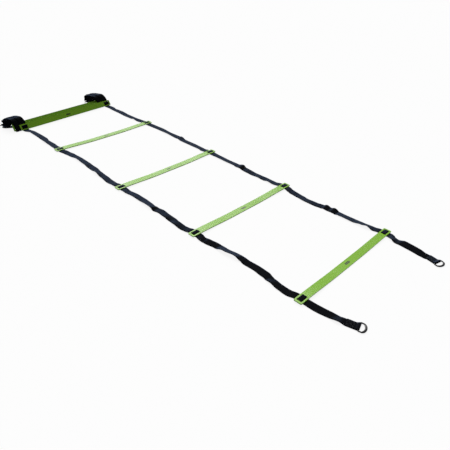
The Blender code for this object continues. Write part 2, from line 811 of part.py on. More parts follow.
def make_gathered_strap(side, carrier, hinge):
    """The gathered strap and its ring. Returns the x at which the strap meets the first bay."""
    matrix = gather_matrix()
    turned = matrix.to_3x3() @ Vector((1, 0, 0))
    lead_start = gather_point(0, 0.0, BEND_CENTRE_DEPTH).x
    foot = matrix @ Vector((SIDES[side] * HALF_SPACING, lead_start, 0))
    ahead = matrix.to_3x3() @ Vector((0, 1, 0))
    lead = (foot.y - hinge - CLEARANCE / 2) / ahead.y
    path, bar, bar_back = gathered_path(lead)
    rows = []
    for point, stagger, back in path:
        centre = matrix @ Vector((gathered_x(side, stagger, back), point.x, point.y))
        across = turned if rows else Vector((1, 0, 0))
        if not rows or (centre - rows[-1][0]).length > CLEARANCE / 10:
            rows.append((centre, across))
    make_band(f"gathered_strap_{side}", rows, carrier)
    report_least_gap(side, [point for point, stagger, back in path])
    x = gathered_x(side, STAGGER_SHARES[-1], bar_back)
    bar_place = matrix @ Vector((x, bar.x, bar.y))
    ring_axis = make_carrier(f"gathered_ring_{side}_axis", bar_place, carrier)
    dip = math.asin((bar_place.z - RING_WIRE / 2) / (RING_HEIGHT - RING_WIRE))
    heading = math.radians(GATHER_YAW_ANGLE + 180)
    make_ring(f"gathered_ring_{side}", ring_axis, bar_place, heading, dip)
    return rows[0][0].x


def report_least_gap(side, points):
    """Print the strap's length and its least gap to itself, measured in the plane of its loops."""
    travelled = [0.0]
    for before, after in zip(points, points[1:]):
        travelled.append(travelled[-1] + (after - before).length)
    least = WEBBING_WIDTH
    for index, point in enumerate(points):
        for other in range(index + 1, len(points) - 1):
            if travelled[other] - travelled[index] < 4 * LOOP_RADIUS:
                continue
            start = points[other]
            step = points[other + 1] - start
            if step.length == 0:
                continue
            share = min(max((point - start).dot(step) / step.length_squared, 0.0), 1.0)
            least = min(least, (point - start - step * share).length - WEBBING_THICKNESS)
    print(f"gathered strap {side}: {travelled[-1]:.3f} m of webbing, least gap {least * 1000:.2f} mm")


# Levels of the strap over a gathered rung's underside: the leg that comes down between two rungs and
# the leg that leaves the rung in front
PATCH_LEVEL = RUNG_THICKNESS + SEAT + HALF_WEBBING
OUT_LEVEL = GATHER_SPACING - SEAT
LEG_LEVEL = (PATCH_LEVEL + OUT_LEVEL - HALF_WEBBING) / 2
GATHER_UNDER_HEIGHT = gather_point(0, 0.0, BEND_CENTRE_DEPTH).y - WEAVE_RADIUS


clear_scene()
parts = make_collection("Agility ladder")
rung_green = make_material("Moulded green rung", (0.28, 0.56, 0.11), 0.38)
webbing_black = make_material("Black webbing", (0.012, 0.014, 0.018), 0.85)
ring_black = make_material("Black D-ring", (0.01, 0.01, 0.011), 0.35)
bowed_rung = rung_mesh("Laid rung", bowed=True)
straight_rung = rung_mesh("Gathered rung", bowed=False)

left_foot = gather_matrix() @ Vector((-HALF_SPACING, gather_point(0, 0.0, BEND_CENTRE_DEPTH).x, 0))
first_hinge = left_foot.y - HINGE_ROOM
axes = make_axes(first_hinge)
gathered_end = axes["gathered_end"]
make_gathered_rungs(gathered_end)
x_starts = {side: make_gathered_strap(side, gathered_end, first_hinge) for side in SIDES}
for bay in range(1, len(RUNG_PLACES) + 1):
    make_bay(bay, first_hinge, x_starts, axes)
    x_starts = {side: sign * HALF_SPACING for side, sign in SIDES.items()}
for side in SIDES:
    make_near_end(side, axes[f"rung_{len(RUNG_PLACES)}"])
bpy.context.view_layer.update()
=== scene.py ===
"""Agility ladder, partly unrolled: green slotted rungs on two black webbing straps with D-rings.

Units are metres and +Z is up. +Y runs along the ladder to its gathered end, and the left strap lies
at -X. Each strap is walked as one line from its far D-ring to its near one, and is then cut into
pieces: the cuts lie under the rungs and in the middle of the half bays.
"""

import math

import bmesh
import bpy
from bpy.props import FloatProperty, FloatVectorProperty, PointerProperty
from mathutils import Euler, Matrix, Vector


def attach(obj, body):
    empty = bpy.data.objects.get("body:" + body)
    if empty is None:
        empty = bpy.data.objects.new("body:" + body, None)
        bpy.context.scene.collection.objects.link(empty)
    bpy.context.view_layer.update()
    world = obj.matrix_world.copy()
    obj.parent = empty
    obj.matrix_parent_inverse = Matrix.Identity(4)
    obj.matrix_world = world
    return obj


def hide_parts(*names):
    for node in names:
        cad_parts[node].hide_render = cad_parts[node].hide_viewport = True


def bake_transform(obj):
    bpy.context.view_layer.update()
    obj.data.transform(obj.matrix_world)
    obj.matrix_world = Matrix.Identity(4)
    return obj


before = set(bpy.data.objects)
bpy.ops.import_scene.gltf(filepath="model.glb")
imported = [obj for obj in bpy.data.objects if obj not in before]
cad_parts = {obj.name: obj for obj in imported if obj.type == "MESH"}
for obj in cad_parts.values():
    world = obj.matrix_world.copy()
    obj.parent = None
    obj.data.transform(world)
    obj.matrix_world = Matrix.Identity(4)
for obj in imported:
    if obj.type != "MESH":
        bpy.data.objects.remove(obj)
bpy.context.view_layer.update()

bl_info = {
    "name": "Agility ladder",
    "version": (1, 0, 0),
    "blender": (4, 5, 0),
    "location": "3D View > Sidebar > Ladder",
    "description": "Makes a partly unrolled agility ladder over its packed frame",
    "category": "Object",
}

# Ladder layout
STRAP_SPACING = 0.415
GATHER_PITCH = 0.285
BAY_2_PITCH = 0.397
BAY_3_PITCH = 0.365
BAY_4_PITCH = 0.381

# Moulded rung
RUNG_WIDTH = 0.024
RUNG_THICKNESS = 0.003
RUNG_END_WIDTH = 0.0057
RUNG_CORNER_RADIUS = 0.003
RUNG_LIFT = 0.0035
RUNG_FLAT_LENGTH = 0.12
CENTRE_BAR_WIDTH = 0.008
SLOT_SIDE_ROOM = 0.0008
SLOT_CORNER_RADIUS = 0.0009
BOW_STATION_STEP = 0.008

# Webbing
WEBBING_WIDTH = 0.025
WEBBING_THICKNESS = 0.0012
CLEARANCE = 0.0003
BEND_CENTRE_DEPTH = 0.001
HINGE_ROOM = 0.003
SETTLE_LENGTH = 0.03
HUMP_HEIGHT = 0.006
SIDE_DRIFT = 0.012
ROW_STEP = 0.003

# Sewn strap ends and D-rings
TAIL_REACHES = {"left": 0.146, "right": 0.171}
TAIL_DRIFT = 0.0215
TAIL_CURVE_SHARE = 1.8
TAB_LENGTH = 0.022
LAYER_GAP = 0.00045
RING_INNER_WIDTH = 0.026
RING_WIRE = 0.0036
RING_HEIGHT = 0.025
RING_CORNER_RADIUS = 0.0026
RING_SIDE_LENGTH = 0.008
RING_SWELL_LENGTH = 0.006
THREAD_GAP_SHARE = 0.14
THREAD_HEIGHT_SHARE = 0.8

# Gathered end
GATHERED_RUNGS = 4
GATHER_SPACING = 0.0095
GATHER_SHIFT = -0.0068
GATHER_STAGGER = 0.025
GATHERED_SLACK = 0.1
LOOP_LEG_GAP = 0.0005
LOOP_TIP_RADIUS = 0.0022
LOOP_TIP_TAPER = 0.02
LEG_CLOSE_LENGTH = 0.015

# Spans along Y from a hinge, one for each kind of joint in the webbing: past the gathered end, past
# a rung, at the fold in the middle of a bay, and where a bay comes to its rung
GATHERED_ZONE = (0.002, -0.008)
RUNG_ZONE = (0.003, -0.005)
FOLD_ZONE = (0.006, -0.006)
BAY_ZONE = (0.005, -0.003)

# Steps of round forms
RUNG_CORNER_STEPS = 6
RUNG_EDGE_STEPS = 4
SLOT_CORNER_STEPS = 3
RING_CORNER_STEPS = 6
RING_BOW_STEPS = 40
RING_WIRE_STEPS = 18
THREAD_STEPS = 8

# Angles, in degrees
GATHER_TILT_ANGLE = 57
GATHER_YAW_ANGLE = 3.9
ROLL_ANGLE = 20
BEND_STEP_ANGLE = 10
TAB_DROP_ANGLE = 30
FLAT_ANGLE = 0.1
SHARP_ANGLE = 50
LAMP_ANGLE = 50

# Finishes: noises as (scale, detail), bumps as (strength, depth), and tones as the least and the
# greatest share of a colour that is varied
PLASTIC_CLOUD = (9.0, 2.0)
PLASTIC_GRAIN = (1600.0, 1.0)
PLASTIC_BUMP = (0.04, 0.0001)
PLASTIC_TONES = (0.95, 1.05)
PLASTIC_IOR = 1.49
SCUFF_NOISE = (1.0, 2.0)
SCUFF_SCALES = (40, 500)
SCUFF_ROUGHNESS = 0.08
BADGE_ROUGHNESS = 0.08
BADGE_FADE = 0.0001
BADGE_INNER_SHARE = 0.28
BADGE_INNER_TONE = 0.4
WEBBING_CLOUD = (55.0, 3.0)
WEBBING_FUZZ = (2600.0, 2.0)
WEBBING_BUMP = (0.75, 0.00022)
# The webbing's darker tones are partly painted shade in the grooves of its weave and partly random
# tone
WEBBING_TONES = (0.45, 1.5)
MIDDLE_RIB = 100.5
THREAD_TWIST = (3000.0, 1.0)
THREAD_BUMP = (0.3, 0.0001)
THREAD_TONES = (0.6, 1.4)
RING_GRAIN = (1400.0, 2.0)
RING_HANDLING = (160.0, 3.0)
RING_BUMP = (0.1, 0.0001)
RING_TONES = (0.8, 1.3)

# Sizes that follow
HALF_WEBBING = WEBBING_THICKNESS / 2
SEAT = CLEARANCE + HALF_WEBBING
SAME_PLACE = CLEARANCE / 10
WEAVE_RADIUS = SEAT + BEND_CENTRE_DEPTH
SLOT_WIDTH = 2 * WEAVE_RADIUS
SLOT_LENGTH = WEBBING_WIDTH + 2 * SLOT_SIDE_ROOM
RUNG_LENGTH = STRAP_SPACING + SLOT_LENGTH + 2 * RUNG_END_WIDTH
EDGE_BAR_WIDTH = (RUNG_WIDTH - CENTRE_BAR_WIDTH) / 2 - SLOT_WIDTH
HALF_RUNG = RUNG_WIDTH / 2
HALF_SPACING = STRAP_SPACING / 2
HINGE_OFFSET = HALF_RUNG + HINGE_ROOM
UNDER_RUNG_HEIGHT = RUNG_LIFT - SEAT
LOOP_RADIUS = RING_WIRE / 2 + SEAT
SIDES = {"left": -1, "right": 1}
STRAP_X = {side: sign * HALF_SPACING for side, sign in SIDES.items()}
RUNG_PLACES = (BAY_2_PITCH, 0.0, -BAY_3_PITCH, -BAY_3_PITCH - BAY_4_PITCH)
GATHER_PLACE = BAY_2_PITCH + GATHER_PITCH

# How each bay of webbing lies: places along the bay, counted from the gathered end, with its roll
# (positive lifts the edge on the +X side), its lift off the floor and its drift to +X
LAY_SHARES = {
    (1, "left"): (
        (0.15, -0.5, 0.0, 0.7), (0.35, -0.25, 0.1, 0.72), (0.5, 0.0, 0.0, 0.72),
        (0.63, -0.65, 0.1, 0.15), (0.78, -0.3, 0.1, 0.2), (0.93, -0.3, 0.0, 0.0),
    ),
    (1, "right"): (
        (0.1, -0.3, 0.0, -0.4), (0.2, -0.05, 0.1, -0.25), (0.3, 0.1, 0.1, -0.25),
        (0.5, 0.0, 0.0, -0.43), (0.7, -0.15, 0.1, -0.48), (0.76, -0.5, 0.1, -0.45),
        (0.86, 0.05, 0.1, -0.25),
    ),
    (2, "left"): (
        (0.06, 0.0, 0.0, 0.5), (0.14, 0.0, 0.1, 0.8), (0.28, -0.6, 0.1, 1.03),
        (0.42, -0.3, 0.1, 0.93), (0.5, 0.0, 0.0, 0.8), (0.56, 0.1, 0.05, 0.7),
        (0.65, -0.85, 0.2, 0.25), (0.76, -0.25, 0.1, 0.03), (0.88, -0.05, 0.1, -0.27),
        (0.94, -0.4, 0.0, -0.25),
    ),
    (2, "right"): (
        (0.08, 0.0, 0.05, 0.35), (0.2, 0.0, 0.1, 0.5), (0.36, -0.45, 0.1, 0.17),
        (0.5, 0.0, 0.0, 0.4), (0.54, 0.3, 0.2, 0.35), (0.63, -0.15, 0.1, -0.1),
        (0.78, -0.1, 0.1, 0.0), (0.9, -0.3, 0.1, -0.1), (0.95, -0.1, 0.0, -0.2),
    ),
    (3, "left"): (
        (0.05, -0.4, 0.0, -0.1), (0.18, -0.3, 0.1, 0.3), (0.29, -0.25, 0.1, 0.3),
        (0.38, -0.65, 0.1, 0.15), (0.46, -0.85, 0.1, -0.08), (0.5, 0.0, 0.0, 0.0),
        (0.57, -0.1, 0.1, 0.25), (0.65, -0.3, 0.1, 0.0), (0.74, 0.0, 0.1, -0.1),
        (0.8, -0.27, 0.1, -0.35), (0.9, -0.1, 0.05, -0.5), (0.95, -0.1, 0.0, -0.35),
    ),
    (3, "right"): (
        (0.1, -0.3, 0.05, 0.0), (0.25, -0.35, 0.1, -0.2), (0.36, -0.3, 0.1, -0.1),
        (0.46, 0.65, 0.4, -0.18), (0.5, 0.2, 0.0, -0.25), (0.56, 0.2, 0.1, -0.45),
        (0.65, 0.0, 0.1, -0.53), (0.73, -0.25, 0.1, -0.5), (0.8, 0.05, 0.1, -0.4),
        (0.87, -0.5, 0.1, -0.45), (0.94, -0.2, 0.0, -0.4),
    ),
    (4, "left"): (
        (0.05, -0.2, 0.0, -0.3), (0.1, 0.2, 0.1, -0.15), (0.2, 0.05, 0.1, 0.3),
        (0.29, -0.9, 0.2, 0.35), (0.4, -1.0, 0.3, 0.75), (0.46, -0.35, 0.05, 0.9),
        (0.5, 0.0, 0.0, 0.8), (0.6, 0.05, 0.1, 0.85), (0.7, 0.3, 0.2, 0.5), (0.78, -0.45, 0.1, 0.0),
        (0.86, -0.15, 0.1, -0.3), (0.94, 0.1, 0.0, -0.35),
    ),
    (4, "right"): (
        (0.05, 0.0, 0.0, -0.4), (0.1, 0.05, 0.1, -0.75), (0.18, -0.1, 0.1, -1.05),
        (0.26, -0.2, 0.1, -1.4), (0.36, 0.0, 0.1, -1.2), (0.43, 0.1, 0.1, -0.9),
        (0.46, 0.6, 0.2, -0.75), (0.5, 0.2, 0.0, -0.65), (0.54, 0.7, 0.2, -0.72),
        (0.61, -0.3, 0.1, -0.75), (0.66, -0.4, 0.1, -0.78), (0.76, -0.25, 0.1, -0.68),
        (0.84, -0.7, 0.1, -0.55), (0.89, -1.0, 0.1, -0.38), (0.95, -0.1, 0.0, -0.25),
    ),
}
TAIL_LAY_SHARES = {
    "left": (
        (0.3, 0.15, 0.05, 0.0), (0.55, 0.0, 0.1, 0.05), (0.84, -0.6, 0.1, -0.15),
    ),
    "right": (
        (0.12, -0.5, 0.05, -0.6), (0.24, 0.0, 0.1, -0.8), (0.4, 0.7, 0.1, -0.7),
        (0.75, 0.65, 0.1, -0.6), (0.9, 0.2, 0.05, -0.4),
    ),
}

# Gathered end: places of its rungs along X as shares of the stagger, and how far the bunches and
# their single loops lean sideways over the distance that they run back
STAGGER_SHARES = (0.0, -1.0, -0.3, -0.6)
LEAN_SHARES = {"left": -0.6, "right": -0.5}
LOOP_LEAN_SHARES = {"left": (0.45, 0.7, 1.05), "right": (1.0, 1.1, 1.3)}

# Moves of each bunched loop, up to its last run, and of the far strap end: a turn by an angle, with
# its radius as a share of the slack, or a run where the angle is 0
LOOP_SHARES = {
    "left": (
        ((0, 0.13), (-50, 0.2), (-40, 0.71), (-57, 0.125)),
        ((0, 0.1), (-66, 0.14), (-11, 1.72), (-175, 0.026)),
        ((0, 0.015), (-67, 0.06), (0, 0.335), (-170, 0.025), (0, 0.2), (180, 0.023)),
    ),
    "right": (
        ((0, 0.14), (-45, 0.22), (-24, 0.9), (-73, 0.13)),
        ((0, 0.13), (-57, 0.126), (0, 0.31), (-179, 0.029)),
        ((0, 0.03), (-60, 0.07), (0, 0.32), (-175, 0.032), (0, 0.18), (177, 0.024)),
    ),
}
FAR_TOP_SHARES = ((0, 0.021), (-147, 0.035))
FAR_CORNER_SHARE = 0.05
FAR_FLOOR_SHARE = 0.285
FAR_BACK_SHARES = ((180, 0.022), (0, 0.24), (-180, 0.022), (0, 0.28))

# Camera of the photograph
CAMERA_PLACE = (-0.9567, -1.1727, 0.7737)
CAMERA_YAW_ANGLE = 47.25
CAMERA_PITCH_ANGLE = 33.86
CAMERA_ROLL_ANGLE = 2.6
CAMERA_LENS = 36.98

# Stage: where the lamp and the bright wall behind the ladder lie, how the wall fades upward and to
# the sides, its least level, and how much of the floor's look is even white
LAMP_DIRECTION = (0.3, 0.55, 0.78)
WALL_DIRECTION = (0.68, 0.73, 0.0)
WALL_RISE = (0.1, 0.75)
WALL_SPREAD = (-0.2, 0.75)
WALL_LEAST = 0.16
FLOOR_WHITE_SHARE = 0.88
FLOOR_LEVEL = -0.0002


def ease(share):
    share = min(max(share, 0.0), 1.0)
    return share * share * (3 - 2 * share)


# Walked paths


class Walk:
    """A path of runs and turns in a plane, with a point at each bend step."""

    def __init__(self, along, height, heading):
        self.points = [Vector((along, height))]
        self.heading = math.radians(heading)
        self.length = 0.0

    def run(self, length):
        count = max(1, math.ceil(length / ROW_STEP))
        start = self.points[-1]
        ahead = Vector((math.cos(self.heading), math.sin(self.heading)))
        for index in range(count):
            self.points.append(start + ahead * (length * (index + 1) / count))
        self.length += length

    def turn(self, degrees, radius):
        count = max(2, round(abs(degrees) / BEND_STEP_ANGLE))
        inward = radius if degrees > 0 else -radius
        start = self.heading
        centre = self.points[-1] + inward * Vector((-math.sin(start), math.cos(start)))
        for index in range(count):
            heading = start + math.radians(degrees) * (index + 1) / count
            beside = Vector((-math.sin(heading), math.cos(heading)))
            self.points.append(centre - inward * beside)
        self.heading = start + math.radians(degrees)
        self.length += abs(math.radians(degrees)) * radius

    def follow(self, moves, scale=1.0):
        """Turns of (angle, radius), and runs of (0, length)."""
        for angle, size in moves:
            if angle:
                self.turn(angle, size * scale)
            else:
                self.run(size * scale)

    def weave(self):
        """Up through one slot, over the centre bar and down through the other."""
        rise = RUNG_THICKNESS + 2 * SEAT - 2 * WEAVE_RADIUS
        self.follow(((90, WEAVE_RADIUS), (0, rise), (-90, WEAVE_RADIUS), (0, CENTRE_BAR_WIDTH)))
        self.follow(((-90, WEAVE_RADIUS), (0, rise), (90, WEAVE_RADIUS)))

    def end_loop(self):
        """Round the ring's bar and back over the strap as the sewn tab."""
        drop = 2 * LOOP_RADIUS - (WEBBING_THICKNESS + LAYER_GAP)
        angle = math.radians(TAB_DROP_ANGLE)
        slope = (drop - 2 * LOOP_RADIUS * (1 - math.cos(angle))) / math.sin(angle)
        self.follow(((180 + TAB_DROP_ANGLE, LOOP_RADIUS), (0, slope)))
        self.follow(((-TAB_DROP_ANGLE, LOOP_RADIUS), (0, TAB_LENGTH)))


def keyed(shares, place, column):
    """The value in a table of (place, ...) between its rows, easing to zero at both ends."""
    rows = ((0.0, 0.0, 0.0, 0.0), *shares, (1.0, 0.0, 0.0, 0.0))
    for before, after in zip(rows, rows[1:]):
        if place <= after[0]:
            share = ease((place - before[0]) / (after[0] - before[0]))
            return before[column] + (after[column] - before[column]) * share
    return 0.0


def lay_row(shares, place):
    """Drift, lift and roll of loosely lying webbing."""
    roll = math.radians(ROLL_ANGLE) * keyed(shares, place, 1)
    lift = WEBBING_WIDTH / 2 * abs(math.sin(roll)) + HUMP_HEIGHT * keyed(shares, place, 2)
    return SIDE_DRIFT * keyed(shares, place, 3), lift, roll


def settle(distance, raised):
    """Height of the webbing's middle at a distance from a hinge where it is raised."""
    return HALF_WEBBING + (raised - HALF_WEBBING) * (1 - ease(distance / SETTLE_LENGTH))


def half_bay_rows(shares, half, span, x_ends, raised):
    """Rows along -Y over the far half (0) or the near half (1) of a bay. The span, the ends of the
    strap's straight line in X and its raised heights are pairs, for the half's two ends."""
    start, end = span
    count = math.ceil((start - end) / ROW_STEP)
    rows = []
    for index in range(count + 1):
        place = index / count
        along = start - (start - end) * place
        base = max(settle(start - along, raised[0]), settle(along - end, raised[1]))
        drift, lift, roll = lay_row(shares, (half + place) / 2)
        x = x_ends[0] + (x_ends[1] - x_ends[0]) * place + drift
        across = Vector((math.cos(roll), 0.0, math.sin(roll)))
        rows.append((Vector((x, along, base + lift)), across))
    return rows


def weave_rows(number, side):
    """The strap through a laid rung, from its far hinge to its near one."""
    under = HINGE_ROOM + EDGE_BAR_WIDTH
    walk = Walk(-HINGE_OFFSET, UNDER_RUNG_HEIGHT, 0)
    walk.run(under)
    walk.weave()
    walk.run(under)
    x = STRAP_X[side]
    y = RUNG_PLACES[number - 1]
    return [(Vector((x, y + point.x, point.y)), Vector((1, 0, 0))) for point in walk.points][::-1]


def tail_plan(side):
    """Hinge place, reach of the ring's bar, and the tail's sideways drift and heading along it."""
    reach = TAIL_REACHES[side] - HINGE_OFFSET
    sign = SIDES[side]

    def plan(along):
        share = max(along / reach, 0.0)
        drift = -sign * TAIL_DRIFT * share**TAIL_CURVE_SHARE
        slope = -sign * TAIL_DRIFT * TAIL_CURVE_SHARE * share ** (TAIL_CURVE_SHARE - 1) / reach
        return drift, math.atan(slope)

    return RUNG_PLACES[-1] - HINGE_OFFSET, reach, plan


def near_bar(side):
    """Place, heading and dip of the ring at the near end of a strap."""
    hinge, reach, plan = tail_plan(side)
    drift, heading = plan(reach)
    bar = Vector((STRAP_X[side] + drift, hinge - reach, HALF_WEBBING + LOOP_RADIUS))
    return bar, heading, ring_dip(bar)


def ring_dip(bar):
    return math.asin((bar.z - RING_WIRE / 2) / (RING_HEIGHT - RING_WIRE))


def near_end_rows(side):
    hinge, reach, plan = tail_plan(side)
    bar, bar_heading, dip = near_bar(side)
    ahead = Vector((math.sin(bar_heading), -math.cos(bar_heading), 0))
    walk = Walk(0.0, HALF_WEBBING, 0)
    walk.run(reach)
    walk.end_loop()
    loose = reach - TAB_LENGTH - 2 * LOOP_RADIUS
    rows = []
    for point in walk.points:
        if point.x > reach:
            centre = bar + ahead * (point.x - reach)
            centre.z = point.y
            heading, roll = bar_heading, 0.0
        else:
            drift, heading = plan(point.x)
            x_side, lift, roll = lay_row(TAIL_LAY_SHARES[side], point.x / loose)
            if point.y > HALF_WEBBING + LAYER_GAP / 2 or point.x > loose:
                x_side, lift, roll = 0.0, 0.0, 0.0
            raised = settle(point.x, UNDER_RUNG_HEIGHT) - HALF_WEBBING
            x = STRAP_X[side] + drift + x_side
            centre = Vector((x, hinge - point.x, point.y + lift + raised))
        level = math.cos(roll) * math.cos(heading)
        rows.append((centre, Vector((level, math.sin(heading), math.sin(roll))).normalized()))
    return rows


# Gathered end

# Levels over a gathered rung's underside: of the leg that comes down between two rungs, and of the
# leg that leaves the rung in front
PATCH_LEVEL = RUNG_THICKNESS + SEAT + HALF_WEBBING
OUT_LEVEL = GATHER_SPACING - SEAT
LEG_LEVEL = (PATCH_LEVEL + OUT_LEVEL - HALF_WEBBING) / 2
WRAP_RADIUS = (LEG_LEVEL + SEAT) / 2


def gather_point(number, along, level):
    """A (y, z) point, at a distance up a gathered rung and a level above its underside."""
    tilt = math.radians(GATHER_TILT_ANGLE)
    height = WRAP_RADIUS + HALF_WEBBING - (LEG_LEVEL - SEAT) / 2 * math.cos(tilt)
    y = number * GATHER_SPACING / math.sin(tilt) + along * math.cos(tilt) - level * math.sin(tilt)
    z = height + along * math.sin(tilt) + level * math.cos(tilt)
    return Vector((y, z))


BEND_CENTRE = gather_point(0, 0.0, BEND_CENTRE_DEPTH)
GATHER_UNDER_HEIGHT = BEND_CENTRE.y - WEAVE_RADIUS


def length_shares(points):
    """How far along the path each point is, from 0 to 1."""
    travelled = [0.0]
    for before, after in zip(points, points[1:]):
        travelled.append(travelled[-1] + (after - before).length)
    return [length / travelled[-1] for length in travelled]


def loop_points(number, side):
    """Outgoing leg, tip and returning leg of the bunched loop behind a gathered rung."""
    leg_start = (OUT_LEVEL - LEG_LEVEL) / 2
    leg_close = (WEBBING_THICKNESS + LOOP_LEG_GAP) / 2
    start = gather_point(number, RUNG_WIDTH, (OUT_LEVEL + LEG_LEVEL) / 2)
    spine = Walk(start.x, start.y, GATHER_TILT_ANGLE)
    spine.follow(LOOP_SHARES[side][number - 1], GATHERED_SLACK)
    spine.run(GATHERED_SLACK - spine.length)
    points = spine.points
    tilt = math.radians(GATHER_TILT_ANGLE)
    left = []
    right = []
    travelled = 0.0
    for index, point in enumerate(points):
        before = points[max(index - 1, 0)]
        after = points[min(index + 1, len(points) - 1)]
        if index:
            travelled += (point - before).length
        ahead = (after - before).normalized() if index else Vector((math.cos(tilt), math.sin(tilt)))
        beside = Vector((-ahead.y, ahead.x))
        half = leg_close + (leg_start - leg_close) * (1 - ease(travelled / LEG_CLOSE_LENGTH))
        to_tip = spine.length - travelled
        half += (LOOP_TIP_RADIUS - leg_close) * ease(1 - to_tip / LOOP_TIP_TAPER)
        left.append(point + beside * half)
        right.append(point - beside * half)
    tip = Walk(left[-1].x, left[-1].y, math.degrees(spine.heading))
    tip.turn(-180, LOOP_TIP_RADIUS)
    return left + tip.points[1:-1] + right[::-1]


def gathered_path(side, lead):
    """The gathered strap as (point in the (y, z) plane, share of the stagger, distance run back),
    the place of its far ring's bar, and how far back the bar lies."""
    walk = Walk(BEND_CENTRE.x - lead, GATHER_UNDER_HEIGHT, 0)
    walk.run(lead)
    walk.turn(GATHER_TILT_ANGLE, WEAVE_RADIUS)
    path = []
    for number in range(GATHERED_RUNGS):
        stagger = STAGGER_SHARES[number]
        walk.run(EDGE_BAR_WIDTH)
        walk.weave()
        walk.run(EDGE_BAR_WIDTH)
        path += [(point, stagger, 0.0) for point in walk.points]
        if number + 1 == GATHERED_RUNGS:
            break
        loop = loop_points(number + 1, side)
        lean = LOOP_LEAN_SHARES[side][number]
        for point, share in zip(loop, length_shares(loop)):
            shifted = stagger + (STAGGER_SHARES[number + 1] - stagger) * ease(share)
            path.append((point, shifted, lean * max(0.0, point.x - loop[-1].x)))
        bottom = gather_point(number + 1, 0.0, LEG_LEVEL)
        walk = Walk(bottom.x, bottom.y, GATHER_TILT_ANGLE + 180)
        walk.turn(180, WRAP_RADIUS)
    top = walk.points[-1]
    walk = Walk(top.x, top.y, GATHER_TILT_ANGLE)
    walk.follow(FAR_TOP_SHARES, GATHERED_SLACK)
    corner_radius = FAR_CORNER_SHARE * GATHERED_SLACK
    walk.run(walk.points[-1].y - corner_radius - HALF_WEBBING)
    walk.turn(90, corner_radius)
    floor_start = len(walk.points)
    walk.run(FAR_FLOOR_SHARE * GATHERED_SLACK)
    floor_end = len(walk.points) - 1
    walk.follow(FAR_BACK_SHARES, GATHERED_SLACK)
    bar = walk.points[-1] + Vector((0, LOOP_RADIUS))
    walk.end_loop()
    back = bar.x - top.x
    for index, point in enumerate(walk.points[1:], 1):
        share = ease((index - floor_start) / (floor_end - floor_start))
        path.append((point, STAGGER_SHARES[-1], back * share))
    return path, bar, back


def gathered_x(side, stagger, back):
    return STRAP_X[side] + GATHER_STAGGER * stagger + LEAN_SHARES[side] * back


def gather_matrix():
    """From the gathered end's own frame, whose origin is under its front rung, to the ladder's."""
    middle = gather_point(0, HALF_RUNG, 0.0)
    place = Vector((GATHER_SHIFT, GATHER_PLACE, 0))
    turn = Matrix.Rotation(math.radians(GATHER_YAW_ANGLE), 4, "Z")
    return Matrix.Translation(place) @ turn @ Matrix.Translation((0, -middle.x, 0))


def first_hinge():
    """How far along Y the first bay starts."""
    return (gather_matrix() @ Vector((-HALF_SPACING, BEND_CENTRE.x, 0))).y - HINGE_ROOM


def gathered_rows(side):
    """The gathered strap from its far tab to the first hinge."""
    matrix = gather_matrix()
    foot = matrix @ Vector((STRAP_X[side], BEND_CENTRE.x, 0))
    lead = (foot.y - first_hinge()) / (matrix.to_3x3() @ Vector((0, 1, 0))).y
    turned = matrix.to_3x3() @ Vector((1, 0, 0))
    rows = []
    for point, stagger, back in gathered_path(side, lead)[0]:
        rows.append((matrix @ Vector((gathered_x(side, stagger, back), point.x, point.y)), turned))
    return rows[::-1]


def gathered_bar(side):
    """Place, heading and dip of the ring at the gathered end of a strap."""
    bar, back = gathered_path(side, HINGE_ROOM)[1:]
    place = gather_matrix() @ Vector((gathered_x(side, STAGGER_SHARES[-1], back), bar.x, bar.y))
    return place, math.radians(GATHER_YAW_ANGLE + 180), ring_dip(place)


# A whole strap


class Row:
    """One station of a strap: its middle, the unit vectors across and out of it, and how far along
    the strap it lies."""

    def __init__(self, centre, across, along):
        self.centre = centre
        self.across = across
        self.along = along
        self.up = None


def whole_strap(side):
    """All rows of a strap from its far tab to its near one, and the row at each of its cuts."""
    lengths = [("gathered", gathered_rows(side))]
    start = first_hinge()
    x_start = lengths[0][1][-1][0].x
    raised = GATHER_UNDER_HEIGHT
    x_end = STRAP_X[side]
    for number, rung_place in enumerate(RUNG_PLACES, 1):
        end = rung_place + HINGE_OFFSET
        places = (start, (start + end) / 2, end)
        line = (x_start, (x_start + x_end) / 2, x_end)
        heights = (raised, HALF_WEBBING, UNDER_RUNG_HEIGHT)
        for half, length in enumerate(("far", "near")):
            pairs = (values[half : half + 2] for values in (places, line, heights))
            rows = half_bay_rows(LAY_SHARES[number, side], half, *pairs)
            lengths.append((f"{length}_{number}", rows))
        lengths.append((f"weave_{number}", weave_rows(number, side)))
        start = rung_place - HINGE_OFFSET
        x_start = x_end
        raised = UNDER_RUNG_HEIGHT
    lengths.append(("end", near_end_rows(side)))
    rows = []
    starts = {}
    for name, stations in lengths:
        starts[name] = max(len(rows) - 1, 0)
        for centre, across in stations:
            travelled = (centre - rows[-1].centre).length if rows else 0.0
            if rows and travelled < SAME_PLACE:
                continue
            along = rows[-1].along + travelled if rows else 0.0
            rows.append(Row(centre, across, along))
    for index, row in enumerate(rows):
        before = rows[max(index - 1, 0)].centre
        after = rows[min(index + 1, len(rows) - 1)].centre
        ahead = (after - before).normalized()
        row.across = (row.across - ahead * row.across.dot(ahead)).normalized()
        row.up = ahead.cross(row.across)
    return rows, strap_cuts(rows, starts)


